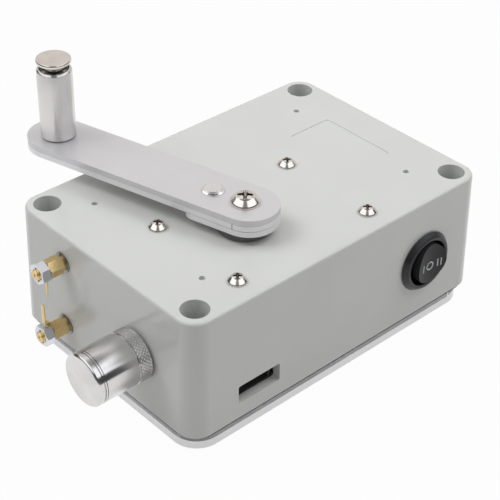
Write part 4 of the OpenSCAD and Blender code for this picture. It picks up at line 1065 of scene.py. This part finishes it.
class GENERATOR_OT_terminals(bpy.types.Operator):
    """Makes the brass studs and barrels, the washers, the nuts and the lead tags"""

    bl_idname = "generator.terminals"
    bl_label = "Terminals"

    def execute(self, context):
        studs, barrels, washers, tags = [], [], [], []
        wall, pitch, inner_washer = -7.2 * MM, 0.5 * MM, 0.8 * MM
        for body, nut_turn, barrel_turn in (("upper_nut", 38, 12), ("lower_nut", 8, 38)):
            low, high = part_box(body)
            centre = (low + high) / 2
            place = placed(high.x, centre.y, centre.z, OUT_X)
            nut_long = high.x - low.x
            stud_end, depth = nut_long + 0.9 * MM, wall - 9.8 * MM
            rings = [(1.6 * MM, wall - 10.2 * MM), (2 * MM, depth)]
            while depth < stud_end - 1.1 * MM:
                rings += [(1.78 * MM, depth + pitch / 2), (1.98 * MM, depth + pitch)]
                depth += pitch
            rings += beside(0, stud_end, (1.98, -0.35), (1.7, 0), (0.5, 0), (0.38, -0.5))
            studs.append(apply_place(turned("stud", rings, 40), place))
            barrel = hexagon("barrel", 6 * MM, wall + 1.3 * MM, -0.4 * MM, 0.42 * MM)
            carve(barrel, rod("cut", 2.02 * MM, -20 * MM, 20 * MM, segments=40))
            neck = flat_ring("neck", 2.02, 2.6, -6.8, -5.9)
            barrels.append(apply_place(together("barrel", [barrel, neck]), place @ placed(turn=barrel_turn)))
            ring = turned("washer", beside(0, wall, (2.1, 0), (3.7, 0), (3.8, 0.08), (3.8, 0.32), (3.7, 0.4),
                                           (2.1, 0.4)), 56, closed=True)
            inner = twin(ring, "washer", placed(z=-wall))
            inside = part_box("terminal_washers")[1].x + inner_washer
            washers.append(apply_place(ring, place))
            washers.append(apply_place(inner, placed(inside, centre.y, centre.z, OUT_X)
                                       @ placed(z=-inner_washer)))
            nut = hexagon("nut", 7 * MM, 0, nut_long, 0.5 * MM)
            carve(nut, turned("cut", beside(0, 0, (2.95, -0.2), (2.06, 0.5))
                              + beside(0, nut_long, (2.06, -0.5), (2.95, 0.2)), 40))
            soften(nut, 0.06 * MM, 1, 40)
            nut.name = body + "_body"
            settle(apply_place(nut, place @ placed(turn=nut_turn)), body, finish("plated nut"),
                   [body], 30)
            tags.append(apply_place(flat_ring("tag", 2.1, 3, -0.38, -0.02), place))
            half = 0.8 * MM
            if body == "upper_nut":
                tail = box("tail", (-10.6 * MM, -half, -0.38 * MM), (-2.6 * MM, half, -0.02 * MM))
                start_editing(tail)
                pick(tail, "faces", lambda f: f.normal.x < -0.9)
                bpy.ops.transform.resize(value=(1, 0.36, 1), center_override=(-10.6 * MM, 0, -0.2 * MM))
                stop_editing()
                tags.append(apply_place(soften(tail, 0.08 * MM, 2), place))
            else:
                foot = box("tail", (2.6 * MM, -half, -0.4 * MM), (4.8 * MM, half, 0))
                start_editing(foot)
                pick(foot, "faces", lambda f: f.normal.x > 0.9)
                bpy.ops.mesh.bevel(offset=NEAR, segments=1, affect="EDGES")
                stop_editing()
                rise = box("tail", (4.4 * MM, -half, -0.4 * MM), (4.8 * MM, half, 1.8 * MM))
                tail = box("tail", (4.4 * MM, -half, 1.4 * MM), (12.8 * MM, half, 1.8 * MM))
                carve(carve(foot, rise, "UNION"), tail, "UNION")
                tags.append(apply_place(soften(foot, 0.1 * MM, 2), place))
        for name, parts, slot, look, node in (
                ("terminal_stud_set", studs, "brass", "turned brass", "terminal_studs"),
                ("terminal_barrel_set", barrels, "brass", "turned brass", "terminal_barrels"),
                ("terminal_washer_set", washers, "nut_steel", "dull washer", "terminal_washers"),
                ("lead_tag_set", tags, "brass", "turned brass", "lead_tags")):
            settle(together(name, parts), "case", finish(look), [node])
        return {"FINISHED"}


class GENERATOR_OT_usb(bpy.types.Operator):
    """Builds the socket behind the slot, with its tongue and four contacts"""

    bl_idname = "generator.usb"
    bl_label = "USB socket"

    def execute(self, context):
        low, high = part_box("usb_socket")
        side, wall, back = 0.9 * MM, 0.7 * MM, 1.2 * MM
        made = box("usb_shell", low, high)
        carve(made, box("cut", (low.x + side, low.y - PAST, low.z + wall),
                        (high.x - side, high.y - back, high.z - wall)))
        settle(soften(made, 0.2 * MM, 2), "case", finish("black moulding"), ["usb_socket"])
        low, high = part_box("usb_tongue")
        made = soften(box("usb_tongue_body", low, high), 0.2 * MM, 2)
        settle(made, "case", finish("black moulding"), ["usb_tongue"])
        contacts, pitch, half = [], 2.5 * MM, 0.5 * MM
        for i in range(4):
            x = (low.x + high.x) / 2 + (i - 1.5) * pitch
            strip = box("contact", (x - half, low.y + 0.6 * MM, low.z - 0.05 * MM),
                        (x + half, high.y - 1 * MM, low.z + 0.1 * MM))
            contacts.append(soften(strip, 0.04 * MM, 1))
        settle(together("usb_contacts", contacts), "case", finish("turned brass"))
        return {"FINISHED"}


class GENERATOR_OT_inside(bpy.types.Operator):
    """Dresses the gearbox, the generator, the boards and the wires"""

    bl_idname = "generator.inside"
    bl_label = "Inside"

    def execute(self, context):
        for kind, names in KEPT_NODES.items():
            for name in names:
                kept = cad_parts[name].data.materials
                kept.clear()
                kept.append(finish(kind))
        low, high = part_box("capacitors")
        r, tall = (high.y - low.y) / 2, high.z - low.z
        cans, vents = [], []
        for x in (low.x + r, high.x - r):
            at = placed(x, (low.y + high.y) / 2, low.z)
            cans.append(apply_place(turned("can", [
                *beside(r, 0, (-0.9, 0.05), (-0.4, 0), (-0.05, 0.35), (0, 0.8)),
                *beside(r, tall, (0, -3), (-0.45, -2.6), (-0.45, -2.1), (0, -1.7), (0, -0.3), (-0.3, 0))],
                64), at))
            lid = turned("lid", beside(r, 0, (-0.95, 0), (-0.95, 0.3)), 64)
            for turn in (45, 135):
                score = box("score", (-0.6 * r, -0.12 * MM, -PAST), (0.6 * r, 0.12 * MM, 0.12 * MM))
                carve(lid, apply_place(score, placed(turn=turn)))
            vents.append(apply_place(lid, at))
        settle(together("capacitor_set", cans), "case", finish("capacitor film"),
               ["capacitors"])
        settle(together("capacitor_lids", vents), "case", finish("extruded aluminium"))
        low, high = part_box("inductor")
        centre = (low + high) / 2
        tube, core, wire, places = 3.4 * MM, 2.9 * MM, 0.4 * MM, 29
        around = (high.x - low.x) / 2 - tube
        centre.z = low.z + tube
        clear_selection()
        bpy.ops.mesh.primitive_torus_add(location=centre, major_radius=around, minor_radius=core,
                                         major_segments=64, minor_segments=24)
        ring = bpy.context.object
        ring.name = "inductor_core"
        settle(ring, "case", finish("ferrite"), ["inductor"])
        clear_selection()
        bpy.ops.mesh.primitive_torus_add(major_radius=core + 0.1 * MM, minor_radius=wire, major_segments=20,
                                         minor_segments=6)
        coil = apply_place(bpy.context.object, Matrix.Rotation(math.radians(90), 4, "X"))
        turns = []
        for i in range(places - 3):
            spin = Matrix.Rotation(2 * math.pi * (i + 0.5) / places, 4, "Z")
            turns.append(twin(coil, "turn", placed(*centre) @ spin @ placed(around)))
        bpy.data.objects.remove(coil)
        settle(together("inductor_winding", turns), "case", finish("wound copper"))
        return {"FINISHED"}


def white_for_rays(tree, kind, tinted, shown, through, output):
    """Shows white to the camera and to gloss, and less of it through clear plastic."""
    rays = add_node(tree, "LightPath").outputs
    seen = reckon(tree, "MULTIPLY", reckon(tree, "MAXIMUM", rays["Is Camera Ray"], rays["Is Glossy Ray"]),
                  reckon(tree, "SUBTRACT", 1.0, rays["Is Transmission Ray"]))
    part = reckon(tree, "MULTIPLY_ADD", rays["Is Transmission Ray"], through,
                  reckon(tree, "MULTIPLY", seen, shown))
    mix = add_node(tree, "MixShader", {0: part, 1: tinted})
    white = add_node(tree, kind, {"Color": (1, 1, 1, 1), "Strength": 1.0})
    tree.links.new(white.outputs[0], mix.inputs[2])
    tree.links.new(mix.outputs[0], output.inputs["Surface"])


class GENERATOR_OT_stage(bpy.types.Operator):
    """Sets up the floor, the lamps, the surroundings and the camera"""

    bl_idname = "generator.stage"
    bl_label = "Stage"

    def execute(self, context):
        scene = context.scene
        studio = scene.generator_studio
        scene.view_settings.view_transform = "Standard"
        world = bpy.data.worlds.new("surroundings")
        world.use_nodes = True
        scene.world = world
        tree = world.node_tree
        plain = tree.nodes["Background"]
        plain.inputs["Color"].default_value = (1, 1, 1, 1)
        plain.inputs["Strength"].default_value = studio.sky
        white_for_rays(tree, "Background", plain.outputs[0], 1.0, 1.0, tree.nodes["World Output"])

        clear_selection()
        bpy.ops.mesh.primitive_plane_add(size=6, location=(0, 0, 2 * NEAR))
        floor = bpy.context.object
        floor.name = "floor"
        material, tree, shader = start_material("floor paint")
        grain = noise(tree, object_place(tree), 60.0)
        tree.links.new(shades(tree, grain, (0.5, 0.5, 0.5), (0.52, 0.52, 0.52)), shader.inputs["Base Color"])
        set_inputs(shader, Roughness=0.9, Specular_IOR_Level=0.0)
        white_for_rays(tree, "Emission", shader.outputs[0], 0.97, 0.5, tree.nodes["Material Output"])
        floor.data.materials.append(material)

        def lamp(name, power, place):
            light = bpy.data.lights.new(name, "AREA")
            light.energy = power
            light.shape = "RECTANGLE"
            light.size = light.size_y = 0.5
            made = bpy.data.objects.new(name, light)
            scene.collection.objects.link(made)
            made.visible_glossy = False
            made.location = place
            made.rotation_euler = (Vector((0, 0, 0.04)) - Vector(place)).to_track_quat("-Z", "Y").to_euler()

        def bearing(turn, height, distance):
            """A place seen from the middle of the case at a turn round Z and a height, in degrees."""
            turn, height = math.radians(turn), math.radians(height)
            level = distance * math.cos(height)
            return level * math.cos(turn), level * math.sin(turn), distance * math.sin(height) + 0.03

        lamp("left lamp", studio.left, bearing(132, 55, 0.9))
        lamp("right lamp", studio.right, bearing(-28, 55, 0.9))

        def wall(name, shade, low, high, turn, spread):
            """Part of a round studio wall between two heights in degrees, which shows only in gloss."""
            clear_selection()
            bpy.ops.mesh.primitive_uv_sphere_add(segments=72, ring_count=60, radius=1.4)
            made = bpy.context.object
            made.name = name
            start_editing(made)

            def outside(face):
                place = face.calc_center_median()
                height = math.degrees(math.asin(place.z / place.length))
                aside = (math.degrees(math.atan2(place.y, place.x)) - turn + 180) % 360 - 180
                return not low < height < high or abs(aside) > spread / 2

            pick(made, "faces", outside)
            bpy.ops.mesh.delete(type="FACE")
            stop_editing()
            material, tree, _ = start_material(name)
            shown = add_node(tree, "Emission", {"Color": (*shade, 1), "Strength": 1.0})
            tree.links.new(shown.outputs[0], tree.nodes["Material Output"].inputs["Surface"])
            made.data.materials.append(material)
            made.visible_camera = False
            made.visible_diffuse = False
            made.visible_shadow = False
            made.visible_transmission = False

        for name, shade, *reach in (
                ("low wall", (0.07, 0.07, 0.075), 0, 27, -136, 256),
                ("far wall foot", (0.70, 0.66, 0.64), 0, 27, 44, 104),
                ("far wall", (0.80, 0.78, 0.76), 27, 43.5, 44, 104),
                ("far wall seam", (0.2, 0.2, 0.2), 43.5, 46.5, 44, 104),
                ("far wall top", (0.98, 0.97, 0.96), 46.5, 64, 44, 104),
                ("left soft box", (1.35, 1.38, 1.42), 27, 64, 151, 110),
                ("right soft box", (1.35, 1.38, 1.42), 27, 64, -60, 104),
                ("near wall", (0.25, 0.25, 0.25), 27, 64, -133, 42),
                ("ceiling", (0.16, 0.16, 0.16), 64, 90, 0, 360)):
            wall(name, shade, *reach)

        lens = bpy.data.cameras.new("camera")
        lens.lens = studio.lens
        lens.sensor_width = 36
        lens.clip_start, lens.clip_end = 0.01, 20
        camera = bpy.data.objects.new("camera", lens)
        scene.collection.objects.link(camera)
        stand = (-0.28134, -0.30152, 0.32367)
        right = Vector((0.7324, -0.6809, 0))
        up = Vector((0.3983, 0.4285, 0.8110))
        back = Vector((-0.5522, -0.5940, 0.5850))
        roll = math.radians(1.038)
        across = right * math.cos(roll) + up * math.sin(roll)
        along = up * math.cos(roll) - right * math.sin(roll)
        turn = Matrix((across, along, back)).transposed().to_4x4()
        camera.matrix_world = placed(*stand) @ turn
        scene.camera = camera
        return {"FINISHED"}


OPERATORS = (
    GENERATOR_OT_stage, GENERATOR_OT_case, GENERATOR_OT_cover, GENERATOR_OT_screws, GENERATOR_OT_crank,
    GENERATOR_OT_handle, GENERATOR_OT_switch, GENERATOR_OT_knob, GENERATOR_OT_terminals, GENERATOR_OT_usb,
    GENERATOR_OT_inside,
)


class GENERATOR_PT_pieces(bpy.types.Panel):
    """Lists the settings and the pieces"""

    bl_label = "Hand crank generator"
    bl_idname = "GENERATOR_PT_pieces"
    bl_space_type = "VIEW_3D"
    bl_region_type = "UI"
    bl_category = "Generator"

    def draw(self, context):
        scene = context.scene
        for group in (scene.generator_case, scene.generator_crank, scene.generator_panel,
                      scene.generator_studio):
            column = self.layout.box().column(align=True)
            for key in group.bl_rna.properties.keys():
                if key not in ("rna_type", "name"):
                    column.prop(group, key)
        column = self.layout.column(align=True)
        for operator in OPERATORS:
            column.operator(operator.bl_idname)


GROUPS = {
    "generator_case": CaseSettings,
    "generator_crank": CrankSettings,
    "generator_panel": PanelSettings,
    "generator_studio": StudioSettings,
}


def register():
    for name, group in GROUPS.items():
        bpy.utils.register_class(group)
        setattr(bpy.types.Scene, name, PointerProperty(type=group))
    for operator in OPERATORS:
        bpy.utils.register_class(operator)
    bpy.utils.register_class(GENERATOR_PT_pieces)


def unregister():
    bpy.utils.unregister_class(GENERATOR_PT_pieces)
    for operator in reversed(OPERATORS):
        bpy.utils.unregister_class(operator)
    for name, group in reversed(GROUPS.items()):
        delattr(bpy.types.Scene, name)
        bpy.utils.unregister_class(group)


def main():
    register()
    bpy.ops.generator.stage()
    bpy.ops.generator.case()
    bpy.ops.generator.cover()
    bpy.ops.generator.screws()
    bpy.ops.generator.crank()
    bpy.ops.generator.handle()
    bpy.ops.generator.switch()
    bpy.ops.generator.knob()
    bpy.ops.generator.terminals()
    bpy.ops.generator.usb()
    bpy.ops.generator.inside()


if __name__ == "__main__":
    main()
